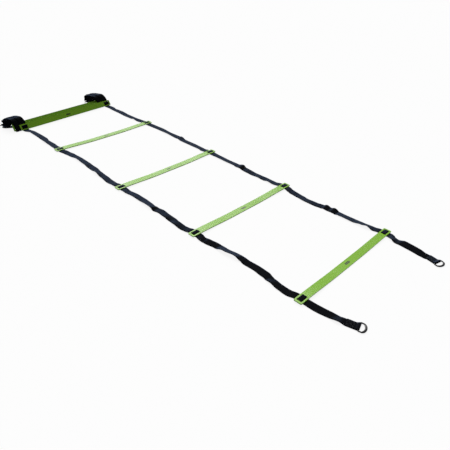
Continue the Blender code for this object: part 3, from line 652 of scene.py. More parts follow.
def strap_cuts(rows, starts):
    """Index of the row at each cut of a strap, by the length of strap that the cut is in."""
    cuts = {"gathered": starts["far_1"] - 1}
    for number, rung_place in enumerate(RUNG_PLACES, 1):
        far, near, weave = (starts[f"{length}_{number}"] for length in ("far", "near", "weave"))
        after = starts.get(f"far_{number + 1}", starts["end"])
        cuts[f"far_{number}"] = (far + near) // 2
        cuts[f"near_{number}"] = (near + weave) // 2
        seam = rung_place - HALF_RUNG + EDGE_BAR_WIDTH / 2
        under = range((weave + after) // 2, after + 1)
        cuts[f"weave_{number}"] = min(under, key=lambda index: abs(rows[index].centre.y - seam))
    return cuts


STRAPS = {side: whole_strap(side) for side in SIDES}

# Half of the top of the webbing's section, from a selvedge to the middle, as shares of its half
# width and half thickness
TOP_SECTION = ((-1.0, 0.0), (-0.985, 0.62), (-0.95, 1.0), (-0.62, 1.0), (-0.31, 1.0), (0.0, 1.0))


def webbing_section():
    top = list(TOP_SECTION) + [(-x, y) for x, y in TOP_SECTION[-2::-1]]
    return top + [(x, -y) for x, y in top[-2:0:-1]]


# Meshes


def new_object(name, data):
    piece = bpy.data.objects.new(name, data)
    bpy.context.scene.collection.objects.link(piece)
    return piece


def placed(place, tilt, yaw):
    """A matrix that turns about X and then about Z, and moves to a place."""
    return Matrix.Translation(place) @ Euler((tilt, 0, yaw)).to_matrix().to_4x4()


def finished_mesh(name, form):
    """A mesh of the form, with its faces turned outward."""
    form.normal_update()
    bmesh.ops.recalc_face_normals(form, faces=form.faces)
    mesh = bpy.data.meshes.new(name)
    form.to_mesh(mesh)
    form.free()
    return mesh


def skin(form, before, after):
    """Smooth faces between two closed rings of vertices."""
    for index in range(len(before)):
        corner = (index + 1) % len(before)
        face = form.faces.new((before[index], after[index], after[corner], before[corner]))
        face.smooth = True


def point_attribute(mesh, name, values):
    attribute = mesh.attributes.new(name, "FLOAT", "POINT")
    attribute.data.foreach_set("value", values)


def webbing_piece(name, rows):
    """A closed length of webbing through rows, with the places along and across that its weave
    needs."""
    section = webbing_section()
    form = bmesh.new()
    rings = []
    along = []
    across = []
    for row in rows:
        ring = []
        for x, y in section:
            side = row.across * (x * WEBBING_WIDTH / 2)
            ring.append(form.verts.new(row.centre + side + row.up * (y * HALF_WEBBING)))
            along.append(row.along)
            across.append(x * WEBBING_WIDTH / 2)
        rings.append(ring)
    for before, after in zip(rings, rings[1:]):
        skin(form, before, after)
    form.faces.new(rings[0])
    form.faces.new(rings[-1][::-1])
    for ring in (rings[0], rings[-1]):
        for index, vertex in enumerate(ring):
            form.edges.get((ring[index - 1], vertex)).smooth = False
    mesh = finished_mesh(name, form)
    point_attribute(mesh, "along", along)
    point_attribute(mesh, "across", across)
    return new_object(name, mesh)


# Finishes


def both_ways(operation):
    """An operator's method and its reflected form, for Signal."""

    def forward(self, other):
        return self.finish.math(operation, self, other)

    def reflected(self, other):
        return self.finish.math(operation, other, self)

    return forward, reflected


class Signal:
    """A socket in a Python expression. Arithmetic on it adds Math nodes."""

    __add__, __radd__ = both_ways("ADD")
    __sub__, __rsub__ = both_ways("SUBTRACT")
    __mul__, __rmul__ = both_ways("MULTIPLY")
    __truediv__, __rtruediv__ = both_ways("DIVIDE")
    __pow__, __rpow__ = both_ways("POWER")
    __gt__, __lt__ = both_ways("GREATER_THAN")

    def __init__(self, finish, socket):
        self.finish = finish
        self.socket = socket


class Finish:
    """A material, or the world, made node by node."""

    def __init__(self, holder):
        holder.use_nodes = True
        self.holder = holder
        self.tree = holder.node_tree
        self.tree.nodes.clear()

    def node(self, kind, settings=None, values=None, output=0):
        """A node of this type: first its settings, then the values or links of its inputs."""
        node = self.tree.nodes.new(kind)
        for name, setting in (settings or {}).items():
            setattr(node, name, setting)
        for name, value in (values or {}).items():
            if isinstance(value, Signal):
                self.tree.links.new(value.socket, node.inputs[name])
            else:
                node.inputs[name].default_value = value
        return Signal(self, node.outputs[output]) if node.outputs else None

    def math(self, operation, *values):
        return self.node("ShaderNodeMath", {"operation": operation}, dict(enumerate(values)))

    def attribute(self, name):
        return self.node("ShaderNodeAttribute", {"attribute_name": name}, output="Fac")

    def noise(self, kind, place):
        values = {"Scale": kind[0], "Detail": kind[1], "Vector": place}
        return self.node("ShaderNodeTexNoise", None, values)

    def place(self):
        return self.node("ShaderNodeTexCoord", output="Object")

    def ray(self, kind):
        """1 where the surface is met by a ray of this kind, or else 0."""
        return self.node("ShaderNodeLightPath", output=f"Is {kind} Ray")

    def vector(self, x, y, z):
        return self.node("ShaderNodeCombineXYZ", None, {"X": x, "Y": y, "Z": z})

    def mix(self, share, first, second):
        """Mix of two colours, whose sockets are the node's seventh and eighth."""
        values = {"Factor": share, 6: first, 7: second}
        return self.node("ShaderNodeMix", {"data_type": "RGBA"}, values, output=2)

    def toned(self, share, colour, tones):
        return self.mix(share, rgba(colour, tones[0]), rgba(colour, tones[1]))

    def clamp(self, value, low, high):
        """How far the value is from low to high, held between 0 and 1."""
        values = {"Value": value, "From Min": low, "From Max": high}
        return self.node("ShaderNodeMapRange", {"clamp": True}, values)

    def bump(self, height, kind):
        values = {"Height": height, "Strength": kind[0], "Distance": kind[1]}
        return self.node("ShaderNodeBump", None, values)

    def surface(self, **values):
        """The Principled shader as the material's surface; an underscore stands for a space."""
        values = {name.replace("_", " "): value for name, value in values.items()}
        self.output(self.node("ShaderNodeBsdfPrincipled", None, values))

    def output(self, shader, kind="Material"):
        self.node(f"ShaderNodeOutput{kind}", None, {"Surface": shader})


def rgba(colour, share=1.0):
    return (*(part * share for part in colour), 1.0)


def green_plastic(settings):
    """Moulded green plastic with a plain dark badge at the middle of the rung."""
    finish = Finish(bpy.data.materials.new("Moulded green plastic"))
    length, breadth, level = (finish.attribute(name) for name in RUNG_PLACE_NAMES)
    place = finish.place()
    colour = finish.toned(finish.noise(PLASTIC_CLOUD, place), settings.colour, PLASTIC_TONES)
    edge = settings.badge_width / 2
    past = finish.math("ABSOLUTE", length) - (settings.badge_length / 2 - edge)
    past = finish.math("MAXIMUM", past, 0.0)
    distance = (past * past + breadth * breadth) ** 0.5
    badge = 1 - finish.clamp(distance, edge - 2 * BADGE_FADE, edge + BADGE_FADE)
    badge = badge * (level > RUNG_THICKNESS / 2)
    inner = edge * BADGE_INNER_SHARE
    inner = 1 - finish.clamp(distance, inner, inner + 3 * BADGE_FADE)
    inner_colour = rgba(settings.colour, BADGE_INNER_TONE)
    badge_colour = finish.mix(inner, rgba(settings.badge_colour), inner_colour)
    lengthwise, crosswise = SCUFF_SCALES
    scuffs = finish.vector(length * lengthwise, breadth * crosswise, level * crosswise)
    scuffs = finish.noise(SCUFF_NOISE, scuffs)
    roughness = settings.roughness + SCUFF_ROUGHNESS * (scuffs - 0.5)
    finish.surface(
        Base_Color=finish.mix(badge, colour, badge_colour),
        Roughness=roughness + BADGE_ROUGHNESS * badge,
        Normal=finish.bump(finish.noise(PLASTIC_GRAIN, place), PLASTIC_BUMP),
        IOR=PLASTIC_IOR,
    )
    return finish.holder


def black_webbing(settings):
    """Black woven webbing: lengthwise rows of yarn, each half a crossing on from the last. Its
    colour has painted shade in the grooves between yarns, and a painted sheen where it is seen at a
    low angle.
    """
    finish = Finish(bpy.data.materials.new("Black webbing"))
    column = finish.attribute("across") / settings.rib_width + MIDDLE_RIB
    odd = finish.math("MODULO", finish.math("FLOOR", column), 2.0)
    stitch = finish.attribute("along") / settings.stitch_length + 0.5 * odd
    column = finish.math("FRACT", column) * 2 - 1
    stitch = finish.math("FRACT", stitch) * 2 - 1
    yarn = (1 - column * column) * (1 - 0.75 * stitch * stitch)
    cloud = finish.noise(WEBBING_CLOUD, finish.place())
    fuzz = finish.noise(WEBBING_FUZZ, finish.place())
    # Painted shade: the colour is darker in the grooves between the yarns, where shade falls, and
    # it also varies at random with the cloud and fuzz noises
    painted_groove_shade_and_tone = finish.clamp(yarn * 0.7 + cloud * 0.45 + fuzz * 0.2 - 0.1, 0.0, 1.0)
    colour = finish.toned(painted_groove_shade_and_tone, settings.colour, WEBBING_TONES)
    # Painted sheen: where the strap is seen at a low angle its colour turns to a lighter blue,
    # which stands in for the bright wall's reflection in its fibres; it is weaker in the grooves
    facing = finish.node("ShaderNodeLayerWeight", None, {"Blend": 0.5}, output="Facing")
    painted_sheen = finish.clamp(facing, settings.painted_sheen_start, settings.painted_sheen_end) * (0.55 + 0.45 * painted_groove_shade_and_tone)
    finish.surface(
        Base_Color=finish.mix(painted_sheen, colour, rgba(settings.painted_sheen_colour)),
        Roughness=0.62 + 0.16 * fuzz,
        Normal=finish.bump(yarn + fuzz * 0.15, WEBBING_BUMP),
        Specular_IOR_Level=settings.gloss,
    )
    return finish.holder


def stitching_thread(settings):
    finish = Finish(bpy.data.materials.new("Stitching thread"))
    twist = finish.noise(THREAD_TWIST, finish.place())
    colour = finish.toned(twist, settings.thread_colour, THREAD_TONES)
    normal = finish.bump(twist, THREAD_BUMP)
    finish.surface(Base_Color=colour, Roughness=0.5 + 0.2 * twist, Normal=normal)
    return finish.holder


def black_plastic(settings):
    """Glossy moulded black plastic with a fine grain."""
    finish = Finish(bpy.data.materials.new("Black ring plastic"))
    handling = finish.noise(RING_HANDLING, finish.place())
    colour = finish.toned(handling, settings.colour, RING_TONES)
    roughness = settings.roughness + 0.14 * (handling - 0.5)
    normal = finish.bump(finish.noise(RING_GRAIN, finish.place()), RING_BUMP)
    finish.surface(Base_Color=colour, Roughness=roughness, Normal=normal)
    return finish.holder


# Rungs

# The attributes that keep each point's place on the straight rung
RUNG_PLACE_NAMES = ("length", "breadth", "level")


def rounded_outline(half_length, half_width, radius, steps, centre=(0.0, 0.0)):
    corners = (
        (half_length - radius, half_width - radius, 0),
        (radius - half_length, half_width - radius, 90),
        (radius - half_length, radius - half_width, 180),
        (half_length - radius, radius - half_width, 270),
    )
    points = []
    for x, y, start in corners:
        for step in range(steps + 1):
            angle = math.radians(start + 90 * step / steps)
            across = centre[0] + x + radius * math.cos(angle)
            points.append((across, centre[1] + y + radius * math.sin(angle)))
    return points


def bow_height(x):
    """Height of the rung's underside: flat in the middle, level again where the straps pass."""
    flat = RUNG_FLAT_LENGTH / 2
    level = HALF_SPACING - SLOT_LENGTH / 2
    return RUNG_LIFT * ease((abs(x) - flat) / (level - flat))


def slotted_plate(name):
    """The rung's flat outline with its four slots, drawn up to its thickness."""
    curve = bpy.data.curves.new(name, "CURVE")
    curve.dimensions = "2D"
    curve.fill_mode = "BOTH"
    curve.extrude = RUNG_THICKNESS / 2
    outlines = [rounded_outline(RUNG_LENGTH / 2, HALF_RUNG, RUNG_CORNER_RADIUS, RUNG_CORNER_STEPS)]
    half_sizes = (SLOT_LENGTH / 2, SLOT_WIDTH / 2)
    slot_place = (CENTRE_BAR_WIDTH + SLOT_WIDTH) / 2
    for side in (-1, 1):
        for edge in (-1, 1):
            centre = (side * HALF_SPACING, edge * slot_place)
            slot = rounded_outline(*half_sizes, SLOT_CORNER_RADIUS, SLOT_CORNER_STEPS, centre)
            outlines.append(slot)
    for outline in outlines:
        spline = curve.splines.new("POLY")
        spline.points.add(len(outline) - 1)
        for point, place in zip(spline.points, outline):
            point.co = (*place, 0.0, 1.0)
        spline.use_cyclic_u = True
    guide = new_object(name, curve)
    bpy.context.view_layer.update()
    graph = bpy.context.evaluated_depsgraph_get()
    mesh = bpy.data.meshes.new_from_object(guide.evaluated_get(graph))
    bpy.data.objects.remove(guide, do_unlink=True)
    bpy.data.curves.remove(curve)
    return mesh


def rung_mesh(settings, bowed):
    """A moulded rung with rounded edges, lying on its underside."""
    mesh = slotted_plate("Laid rung" if bowed else "Gathered rung")
    form = bmesh.new()
    form.from_mesh(mesh)
    bmesh.ops.remove_doubles(form, verts=form.verts, dist=SAME_PLACE)
    flat = math.radians(FLAT_ANGLE)
    bmesh.ops.dissolve_limit(form, angle_limit=flat, verts=form.verts, edges=form.edges)
    sharp = math.radians(SHARP_ANGLE)
    rim = []
    for edge in form.edges:
        first, last = edge.verts
        level = abs(first.co.z - last.co.z) < SAME_PLACE
        if level and edge.is_manifold and edge.calc_face_angle() > sharp:
            rim.append(edge)
    bmesh.ops.bevel(
        form, geom=rim, offset=settings.edge_radius, segments=RUNG_EDGE_STEPS, profile=0.5,
        affect="EDGES", clamp_overlap=True,
    )
    count = math.ceil(RUNG_LENGTH / 2 / BOW_STATION_STEP)
    for index in range(1, count):
        for side in (1, -1):
            station = side * RUNG_LENGTH / 2 * index / count
            geometry = form.verts[:] + form.edges[:] + form.faces[:]
            cut = {"plane_co": (station, 0, 0), "plane_no": (1, 0, 0)}
            bmesh.ops.bisect_plane(form, geom=geometry, **cut)
    bmesh.ops.recalc_face_normals(form, faces=form.faces)
    places = []
    for vertex in form.verts:
        vertex.co.z += RUNG_THICKNESS / 2
        places.append(vertex.co.copy())
        if bowed:
            vertex.co.z += bow_height(vertex.co.x)
    for face in form.faces:
        face.smooth = True
    form.to_mesh(mesh)
    form.free()
    mesh.materials.clear()
    for name, values in zip(RUNG_PLACE_NAMES, zip(*places)):
        point_attribute(mesh, name, values)
    return mesh


def make_rung(name, mesh, matrix, body, finish):
    mesh = mesh.copy()
    mesh.transform(matrix)
    mesh.materials.append(finish)
    rung = new_object(f"{name}_moulding", mesh)
    smooth = rung.modifiers.new("Level faces", "WEIGHTED_NORMAL")
    smooth.keep_sharp = True
    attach(rung, body)
    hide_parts(name)


# D-rings


def ring_points(length):
    """Closed centre line of the ring: its bar lies on X at the origin and its bow reaches to -Y."""
    half = (RING_INNER_WIDTH + RING_WIRE) / 2
    reach = length - RING_WIRE
    corner = RING_CORNER_RADIUS
    points = []
    for step in range(RING_CORNER_STEPS + 1):
        angle = math.radians(90 - 90 * step / RING_CORNER_STEPS)
        x = half - corner + corner * math.cos(angle)
        points.append(Vector((x, corner * math.sin(angle) - corner, 0)))
    for step in range(1, RING_BOW_STEPS):
        angle = math.radians(180 * step / RING_BOW_STEPS)
        bow = (reach - RING_SIDE_LENGTH) * math.sin(angle)
        points.append(Vector((half * math.cos(angle), -RING_SIDE_LENGTH - bow, 0)))
    return points + [Vector((-point.x, point.y, 0)) for point in points[RING_CORNER_STEPS::-1]]


def ring_mesh(name, points, bow_wire):
    """A closed tube round a flat closed path, which grows wider inwards from the bar to the bow."""
    form = bmesh.new()
    rings = []
    for index, point in enumerate(points):
        ahead = (points[(index + 1) % len(points)] - points[index - 1]).normalized()
        inward = Vector((ahead.y, -ahead.x, 0))
        swell = (bow_wire - RING_WIRE) / 2 * ease((-point.y - RING_SIDE_LENGTH) / RING_SWELL_LENGTH)
        middle = point + inward * swell
        ring = []
        for step in range(RING_WIRE_STEPS):
            angle = 2 * math.pi * step / RING_WIRE_STEPS
            spoke = inward * ((RING_WIRE / 2 + swell) * math.cos(angle))
            spoke.z = RING_WIRE / 2 * math.sin(angle)
            ring.append(form.verts.new(middle + spoke))
        rings.append(ring)
    for index, ring in enumerate(rings):
        skin(form, rings[index - 1], ring)
    return finished_mesh(name, form)


def make_ring(name, place, heading, dip, settings, finish):
    mesh = ring_mesh(name, ring_points(settings.length), settings.bow_wire)
    mesh.transform(placed(place, dip, heading))
    mesh.materials.append(finish)
    ring = new_object(f"{name}_moulding", mesh)
    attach(ring, name)
    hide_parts(name)


# Stitching


# Shares of a stitch's length, with its width there as a share of the thread's
THREAD_SECTIONS = ((0.0, 0.35), (0.12, 0.8), (0.3, 1.0), (0.7, 1.0), (0.88, 0.8), (1.0, 0.35))


def add_stitch(form, start, end, up, radius):
    """One stitch: a short rounded thread between two points, half sunk in the webbing."""
    ahead = (end - start).normalized()
    side = up.cross(ahead)
    length = (end - start).length
    rings = []
    for share, width in THREAD_SECTIONS:
        centre = start + ahead * (length * share)
        ring = []
        for step in range(THREAD_STEPS):
            angle = 2 * math.pi * step / THREAD_STEPS
            out = side * math.cos(angle) + up * (math.sin(angle) * THREAD_HEIGHT_SHARE)
            ring.append(form.verts.new(centre + out * (radius * width)))
        rings.append(ring)
    for before, after in zip(rings, rings[1:]):
        skin(form, before, after)
    form.faces.new(rings[0][::-1])
    form.faces.new(rings[-1])


def stitch_line(form, start, end, up, settings):
    count = max(1, round((end - start).length / settings.thread_pitch))
    ahead = (end - start) / count
    for index in range(count):
        first = start + ahead * (index + THREAD_GAP_SHARE)
        last = first + ahead * (1 - 2 * THREAD_GAP_SHARE)
        add_stitch(form, first, last, up, settings.thread_width / 2)


def box_stitch(name, corner_point, side, ahead, up, settings, finish, body):
    """A sewn box with a cross in it, on a tab of webbing."""
    half = settings.box_width / 2
    length = settings.box_length
    corners = []
    for x, y in ((-half, 0), (half, 0), (half, length), (-half, length)):
        corners.append(corner_point + side * x + ahead * y)
    form = bmesh.new()
    for first, second in ((0, 1), (1, 2), (2, 3), (3, 0), (0, 2), (1, 3)):
        stitch_line(form, corners[first], corners[second], up, settings)
    mesh = finished_mesh(name, form)
    mesh.materials.append(finish)
    stitches = new_object(name, mesh)
    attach(stitches, body)


def tab_frame(rows):
    """Place of a sewn tab's end on its top face, and the directions across, ahead and up; the rows
    run from that end to the ring."""
    first, last = rows[0], rows[-1]
    ahead = (last.centre - first.centre).normalized()
    up = first.up if first.up.z > 0 else -first.up
    return first.centre + up * HALF_WEBBING, first.across, ahead, up


# Settings that a user would change

SHARE = {"min": 0.0, "max": 1.0}


class LadderRungSettings(bpy.types.PropertyGroup):
    colour: FloatVectorProperty(
        name="Plastic colour", description="Colour of the moulded rungs",
        default=(0.19, 0.43, 0.006), subtype="COLOR", **SHARE,
    )
    roughness: FloatProperty(
        name="Roughness", description="How matt the moulded rungs are",
        default=0.3, subtype="FACTOR", **SHARE,
    )
    edge_radius: FloatProperty(
        name="Edge radius", description="Rounding of the rung's long edges",
        default=0.0006, min=0.0002, max=0.0014, unit="LENGTH",
    )
    badge_length: FloatProperty(
        name="Badge length", description="Length of the plain mark at the rung's middle",
        default=0.021, min=0.005, max=0.06, unit="LENGTH",
    )
    badge_width: FloatProperty(
        name="Badge width", description="Width of the plain mark at the rung's middle",
        default=0.0072, min=0.002, max=0.018, unit="LENGTH",
    )
    badge_colour: FloatVectorProperty(
        name="Badge colour", description="Colour of the plain mark",
        default=(0.012, 0.03, 0.003), subtype="COLOR", **SHARE,
    )


class LadderWebbingSettings(bpy.types.PropertyGroup):
    colour: FloatVectorProperty(
        name="Webbing colour", description="Colour of the straps",
        default=(0.0045, 0.005, 0.0065), subtype="COLOR", **SHARE,
    )
    gloss: FloatProperty(
        name="Gloss", description="Strength of the webbing's mirror light",
        default=0.01, subtype="FACTOR", **SHARE,
    )
    # The next three settings are a painted sheen: a lighter blue mixed into the webbing's colour
    # where it is seen at a low angle
    painted_sheen_colour: FloatVectorProperty(
        name="Painted sheen colour", description="Colour of the webbing's fibres seen at a low angle",
        default=(0.027, 0.038, 0.064), subtype="COLOR", **SHARE,
    )
    painted_sheen_start: FloatProperty(
        name="Painted sheen start", description="How low the view is where the nap starts to show",
        default=0.41, subtype="FACTOR", **SHARE,
    )
    painted_sheen_end: FloatProperty(
        name="Painted sheen end", description="How low the view is where the nap shows in full",
        default=0.57, subtype="FACTOR", **SHARE,
    )
    rib_width: FloatProperty(
        name="Rib width", description="Width of one lengthwise row of the weave",
        default=0.00105, min=0.0004, max=0.004, unit="LENGTH",
    )
    stitch_length: FloatProperty(
        name="Yarn length", description="Length of one crossing of the weave",
        default=0.0017, min=0.0004, max=0.006, unit="LENGTH",
    )
    thread_colour: FloatVectorProperty(
        name="Thread colour", description="Colour of the sewing thread",
        default=(0.012, 0.014, 0.018), subtype="COLOR", **SHARE,
    )
    thread_width: FloatProperty(
        name="Thread width", description="Width of the sewing thread",
        default=0.00062, min=0.0002, max=0.0015, unit="LENGTH",
    )
    thread_pitch: FloatProperty(
        name="Stitch pitch", description="Distance from one stitch to the next",
        default=0.0029, min=0.001, max=0.006, unit="LENGTH",
    )
    box_length: FloatProperty(
        name="Sewn box length", description="Length of the sewn box on each tab",
        default=0.0165, min=0.005, max=0.02, unit="LENGTH",
    )
    box_width: FloatProperty(
        name="Sewn box width", description="Width of the sewn box on each tab",
        default=0.0185, min=0.005, max=0.024, unit="LENGTH",
    )


class LadderRingSettings(bpy.types.PropertyGroup):
    length: FloatProperty(
        name="Ring length", description="Length of a D-ring from its bar to its bow",
        default=0.021, min=0.015, max=0.027, unit="LENGTH",
    )
    bow_wire: FloatProperty(
        name="Bow width", description="Width of a D-ring's bow in the ring's own plane",
        default=0.006, min=0.003, max=0.008, unit="LENGTH",
    )
    colour: FloatVectorProperty(
        name="Ring colour", description="Colour of the D-rings",
        default=(0.008, 0.008, 0.009), subtype="COLOR", **SHARE,
    )
    roughness: FloatProperty(
        name="Roughness", description="How matt the D-rings are",
        default=0.28, subtype="FACTOR", **SHARE,
    )


class LadderStageSettings(bpy.types.PropertyGroup):
    ambient: FloatProperty(
        name="Room light", description="Level of the even light from all round",
        default=0.25, min=0.0, max=2.0,
    )
    key_strength: FloatProperty(
        name="Key light", description="Level of the soft light from above and behind",
        default=2.95, min=0.0, max=10.0,
    )
    floor_radius: FloatProperty(
        name="Floor radius", description="Radius of the pale floor",
        default=9.0, min=1.0, max=20.0, unit="LENGTH",
    )
    floor_colour: FloatVectorProperty(
        name="Floor colour", description="Colour of the floor in the picture",
        default=(0.86, 0.86, 0.86), subtype="COLOR", **SHARE,
    )
    bounce_colour: FloatVectorProperty(
        name="Bounce colour", description="Colour of the light that the floor throws back",
        default=(0.28, 0.28, 0.28), subtype="COLOR", **SHARE,
    )


# Operators, one for each group of like pieces


class LADDER_OT_rungs(bpy.types.Operator):
    """Makes the laid and the gathered rungs"""

    bl_idname = "ladder.rungs"
    bl_label = "Rungs"

    def execute(self, context):
        settings = context.scene.ladder_rungs
        finish = green_plastic(settings)
        laid = rung_mesh(settings, bowed=True)
        for number, place in enumerate(RUNG_PLACES, 1):
            name = f"rung_{number}"
            make_rung(name, laid, Matrix.Translation((0, place, 0)), name, finish)
        straight = rung_mesh(settings, bowed=False)
        tilt, yaw = math.radians(GATHER_TILT_ANGLE), math.radians(GATHER_YAW_ANGLE)
        for number in range(GATHERED_RUNGS):
            middle = gather_point(number, HALF_RUNG, 0.0)
            place = Vector((STAGGER_SHARES[number] * GATHER_STAGGER, middle.x, middle.y))
            matrix = placed(gather_matrix() @ place, tilt, yaw)
            make_rung(f"gathered_rung_{number + 1}", straight, matrix, "gathered_end", finish)
        return {"FINISHED"}


def finish_webbing(piece, replaced):
    piece.data.materials.append(bpy.data.materials["Black webbing"])
    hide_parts(replaced)


def bend_webbing(piece):
    """Bakes the piece's placing into its mesh."""
    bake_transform(piece)


class LADDER_OT_gathered_straps(bpy.types.Operator):
    """Makes the bunched webbing of both straps at the gathered end"""

    bl_idname = "ladder.gathered_straps"
    bl_label = "Gathered straps"

    def execute(self, context):
        black_webbing(context.scene.ladder_webbing)
        for side, (rows, cuts) in STRAPS.items():
            piece = webbing_piece(f"gathered_webbing_{side}", rows[: cuts["gathered"] + 1])
            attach(piece, "gathered_end")
            finish_webbing(piece, f"gathered_strap_{side}")
        return {"FINISHED"}


class LADDER_OT_bay_straps(bpy.types.Operator):
    """Makes the laid webbing between and through the rungs, in pieces cut at the rungs and half
    bays
    """

    bl_idname = "ladder.bay_straps"
    bl_label = "Laid straps"

    def execute(self, context):
        for side, (rows, cuts) in STRAPS.items():
            hinge = first_hinge()
            last_cut = cuts["gathered"]
            last_body = "gathered_end"
            first_zone = GATHERED_ZONE
            for number, rung_place in enumerate(RUNG_PLACES, 1):
                near_hinge = rung_place + HINGE_OFFSET
                middle = (hinge + near_hinge) / 2
                bay, rung = f"bay_{number}", f"rung_{number}"
                for length, body, place, zone, replaced in (
                    ("far", f"{bay}_far", hinge, first_zone, f"{bay}_strap_{side}_far"),
                    ("near", f"{bay}_near", middle, FOLD_ZONE, f"{bay}_strap_{side}_near"),
                    ("weave", rung, near_hinge, BAY_ZONE, f"{rung}_weave_{side}"),
                ):
                    cut = cuts[f"{length}_{number}"]
                    name = f"webbing_{side}_{length}_{number}"
                    piece = webbing_piece(name, rows[last_cut : cut + 1])
                    finish_webbing(piece, replaced)
                    bend_webbing(piece)
                    last_cut, last_body = cut, body
                hinge = rung_place - HINGE_OFFSET
                first_zone = RUNG_ZONE
        return {"FINISHED"}


class LADDER_OT_strap_ends(bpy.types.Operator):
    """Makes the near strap ends, beyond the last rung"""

    bl_idname = "ladder.strap_ends"
    bl_label = "Strap ends"

    def execute(self, context):
        for side, (rows, cuts) in STRAPS.items():
            piece = webbing_piece(f"webbing_{side}_end", rows[cuts["weave_4"] :])
            finish_webbing(piece, f"end_strap_{side}")
            bend_webbing(piece)
        return {"FINISHED"}


class LADDER_OT_stitching(bpy.types.Operator):
    """Sews the tabs at both ends of both straps"""

    bl_idname = "ladder.stitching"
    bl_label = "Stitching"

    def execute(self, context):
        settings = context.scene.ladder_webbing
        finish = stitching_thread(settings)
        count = round(TAB_LENGTH / ROW_STEP)
        for side, (rows, cuts) in STRAPS.items():
            for name, tab, body in (
                (f"far_stitching_{side}", rows[: count + 1], "gathered_end"),
                (f"near_stitching_{side}", rows[-1 : -count - 2 : -1], f"end_strap_{side}"),
            ):
                corner, across, ahead, up = tab_frame(tab)
                corner += ahead * ((TAB_LENGTH - settings.box_length) / 2)
                box_stitch(name, corner, across, ahead, up, settings, finish, body)
        return {"FINISHED"}


class LADDER_OT_rings(bpy.types.Operator):
    """Makes the four D-rings"""

    bl_idname = "ladder.rings"
    bl_label = "D-rings"

    def execute(self, context):
        settings = context.scene.ladder_rings
        finish = black_plastic(settings)
        for side in SIDES:
            make_ring(f"end_ring_{side}", *near_bar(side), settings, finish)
            make_ring(f"gathered_ring_{side}", *gathered_bar(side), settings, finish)
        return {"FINISHED"}


class LADDER_OT_stage(bpy.types.Operator):
    """Makes the pale floor, the light and the camera"""

    bl_idname = "ladder.stage"
    bl_label = "Floor, light and camera"

    def execute(self, context):
        settings = context.scene.ladder_stage
        make_floor(settings)
        make_world(settings)
        make_key_light(settings)
        make_camera(context.scene)
        context.scene.view_settings.view_transform = "Standard"
        return {"FINISHED"}


def make_floor(settings):
    form = bmesh.new()
    bmesh.ops.create_circle(form, cap_ends=True, segments=96, radius=settings.floor_radius)
    mesh = bpy.data.meshes.new("Floor")
    form.to_mesh(mesh)
    form.free()
    floor = new_object("Floor", mesh)
    floor.location = (0, 0, FLOOR_LEVEL)
    finish = Finish(bpy.data.materials.new("Pale floor"))
    seen = finish.ray("Camera") + finish.ray("Glossy") + finish.ray("Transmission")
    colour = finish.mix(seen, rgba(settings.bounce_colour), rgba(settings.floor_colour))
    lit = finish.node("ShaderNodeBsdfDiffuse", None, {"Color": colour})
    glow = finish.node("ShaderNodeEmission", None, {"Color": (1, 1, 1, 1), "Strength": 1.0})
    values = {0: seen * FLOOR_WHITE_SHARE, 1: lit, 2: glow}
    finish.output(finish.node("ShaderNodeMixShader", None, values))
    mesh.materials.append(finish.holder)


def make_world(settings):
    """White to the camera, an even room light, and a bright low back wall in reflections."""
    world = bpy.data.worlds.new("Room")
    bpy.context.scene.world = world
    finish = Finish(world)
    seen = finish.ray("Camera") + finish.ray("Transmission")
    glossy = finish.ray("Glossy")
    direction = finish.node("ShaderNodeTexCoord", output="Generated")
    product = {"operation": "DOT_PRODUCT"}
    values = {0: direction, 1: WALL_DIRECTION}
    toward = finish.node("ShaderNodeVectorMath", product, values, output="Value")
    height = finish.node("ShaderNodeSeparateXYZ", None, {0: direction}, output="Z")
    wall = (1 - finish.clamp(height, *WALL_RISE)) * finish.clamp(toward, *WALL_SPREAD)
    wall = WALL_LEAST + (1 - WALL_LEAST) * wall
    level = settings.ambient + (wall - settings.ambient) * glossy
    level = level + (1 - level) * seen
    values = {"Color": (1, 1, 1, 1), "Strength": level}
    finish.output(finish.node("ShaderNodeBackground", None, values), "World")


def make_key_light(settings):
    lamp = bpy.data.lights.new("Soft key light", "SUN")
    lamp.energy = settings.key_strength
    lamp.angle = math.radians(LAMP_ANGLE)
    light = new_object("Soft key light", lamp)
    light.rotation_euler = Vector(LAMP_DIRECTION).to_track_quat("Z", "Y").to_euler()


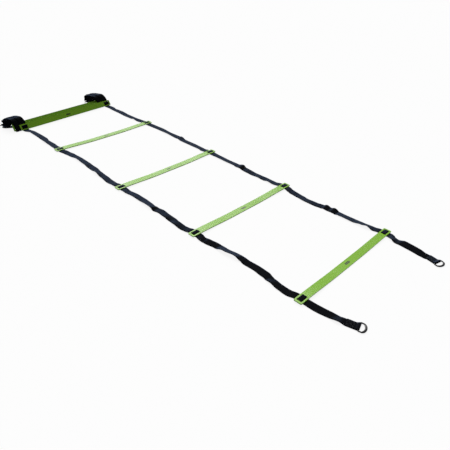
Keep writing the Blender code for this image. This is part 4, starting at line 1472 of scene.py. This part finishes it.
def make_camera(scene):
    yaw = math.radians(CAMERA_YAW_ANGLE)
    pitch = math.radians(CAMERA_PITCH_ANGLE)
    roll = math.radians(CAMERA_ROLL_ANGLE)
    level = Vector((math.cos(yaw), -math.sin(yaw), 0))
    forward = Vector((math.sin(yaw), math.cos(yaw), 0)) * math.cos(pitch)
    forward.z = -math.sin(pitch)
    rise = level.cross(forward)
    right = math.cos(roll) * level + math.sin(roll) * rise
    up = math.cos(roll) * rise - math.sin(roll) * level
    matrix = Matrix((right, up, -forward)).transposed().to_4x4()
    matrix.translation = CAMERA_PLACE
    lens = bpy.data.cameras.new("Photograph camera")
    lens.sensor_width = 36
    lens.lens = CAMERA_LENS
    lens.clip_start = 0.01
    scene.camera = new_object("Photograph camera", lens)
    scene.camera.matrix_world = matrix


class LADDER_PT_panel(bpy.types.Panel):
    """Lists the ladder's pieces and their settings"""

    bl_idname = "LADDER_PT_panel"
    bl_label = "Agility ladder"
    bl_space_type = "VIEW_3D"
    bl_region_type = "UI"
    bl_category = "Ladder"

    def draw(self, context):
        for group in SETTINGS:
            settings = getattr(context.scene, group)
            box = self.layout.box()
            for name in settings.__annotations__:
                box.prop(settings, name)
        for operator in OPERATORS:
            self.layout.operator(operator.bl_idname)


SETTINGS = {
    "ladder_rungs": LadderRungSettings,
    "ladder_webbing": LadderWebbingSettings,
    "ladder_rings": LadderRingSettings,
    "ladder_stage": LadderStageSettings,
}
OPERATORS = (
    LADDER_OT_rungs,
    LADDER_OT_gathered_straps,
    LADDER_OT_bay_straps,
    LADDER_OT_strap_ends,
    LADDER_OT_stitching,
    LADDER_OT_rings,
    LADDER_OT_stage,
)


def register():
    for name, settings in SETTINGS.items():
        bpy.utils.register_class(settings)
        setattr(bpy.types.Scene, name, PointerProperty(type=settings))
    for operator in OPERATORS:
        bpy.utils.register_class(operator)
    bpy.utils.register_class(LADDER_PT_panel)


def unregister():
    bpy.utils.unregister_class(LADDER_PT_panel)
    for operator in reversed(OPERATORS):
        bpy.utils.unregister_class(operator)
    for name, settings in reversed(SETTINGS.items()):
        delattr(bpy.types.Scene, name)
        bpy.utils.unregister_class(settings)


def main():
    register()
    bpy.ops.ladder.rungs()
    bpy.ops.ladder.gathered_straps()
    bpy.ops.ladder.bay_straps()
    bpy.ops.ladder.strap_ends()
    bpy.ops.ladder.stitching()
    bpy.ops.ladder.rings()
    bpy.ops.ladder.stage()


if __name__ == "__main__":
    main()
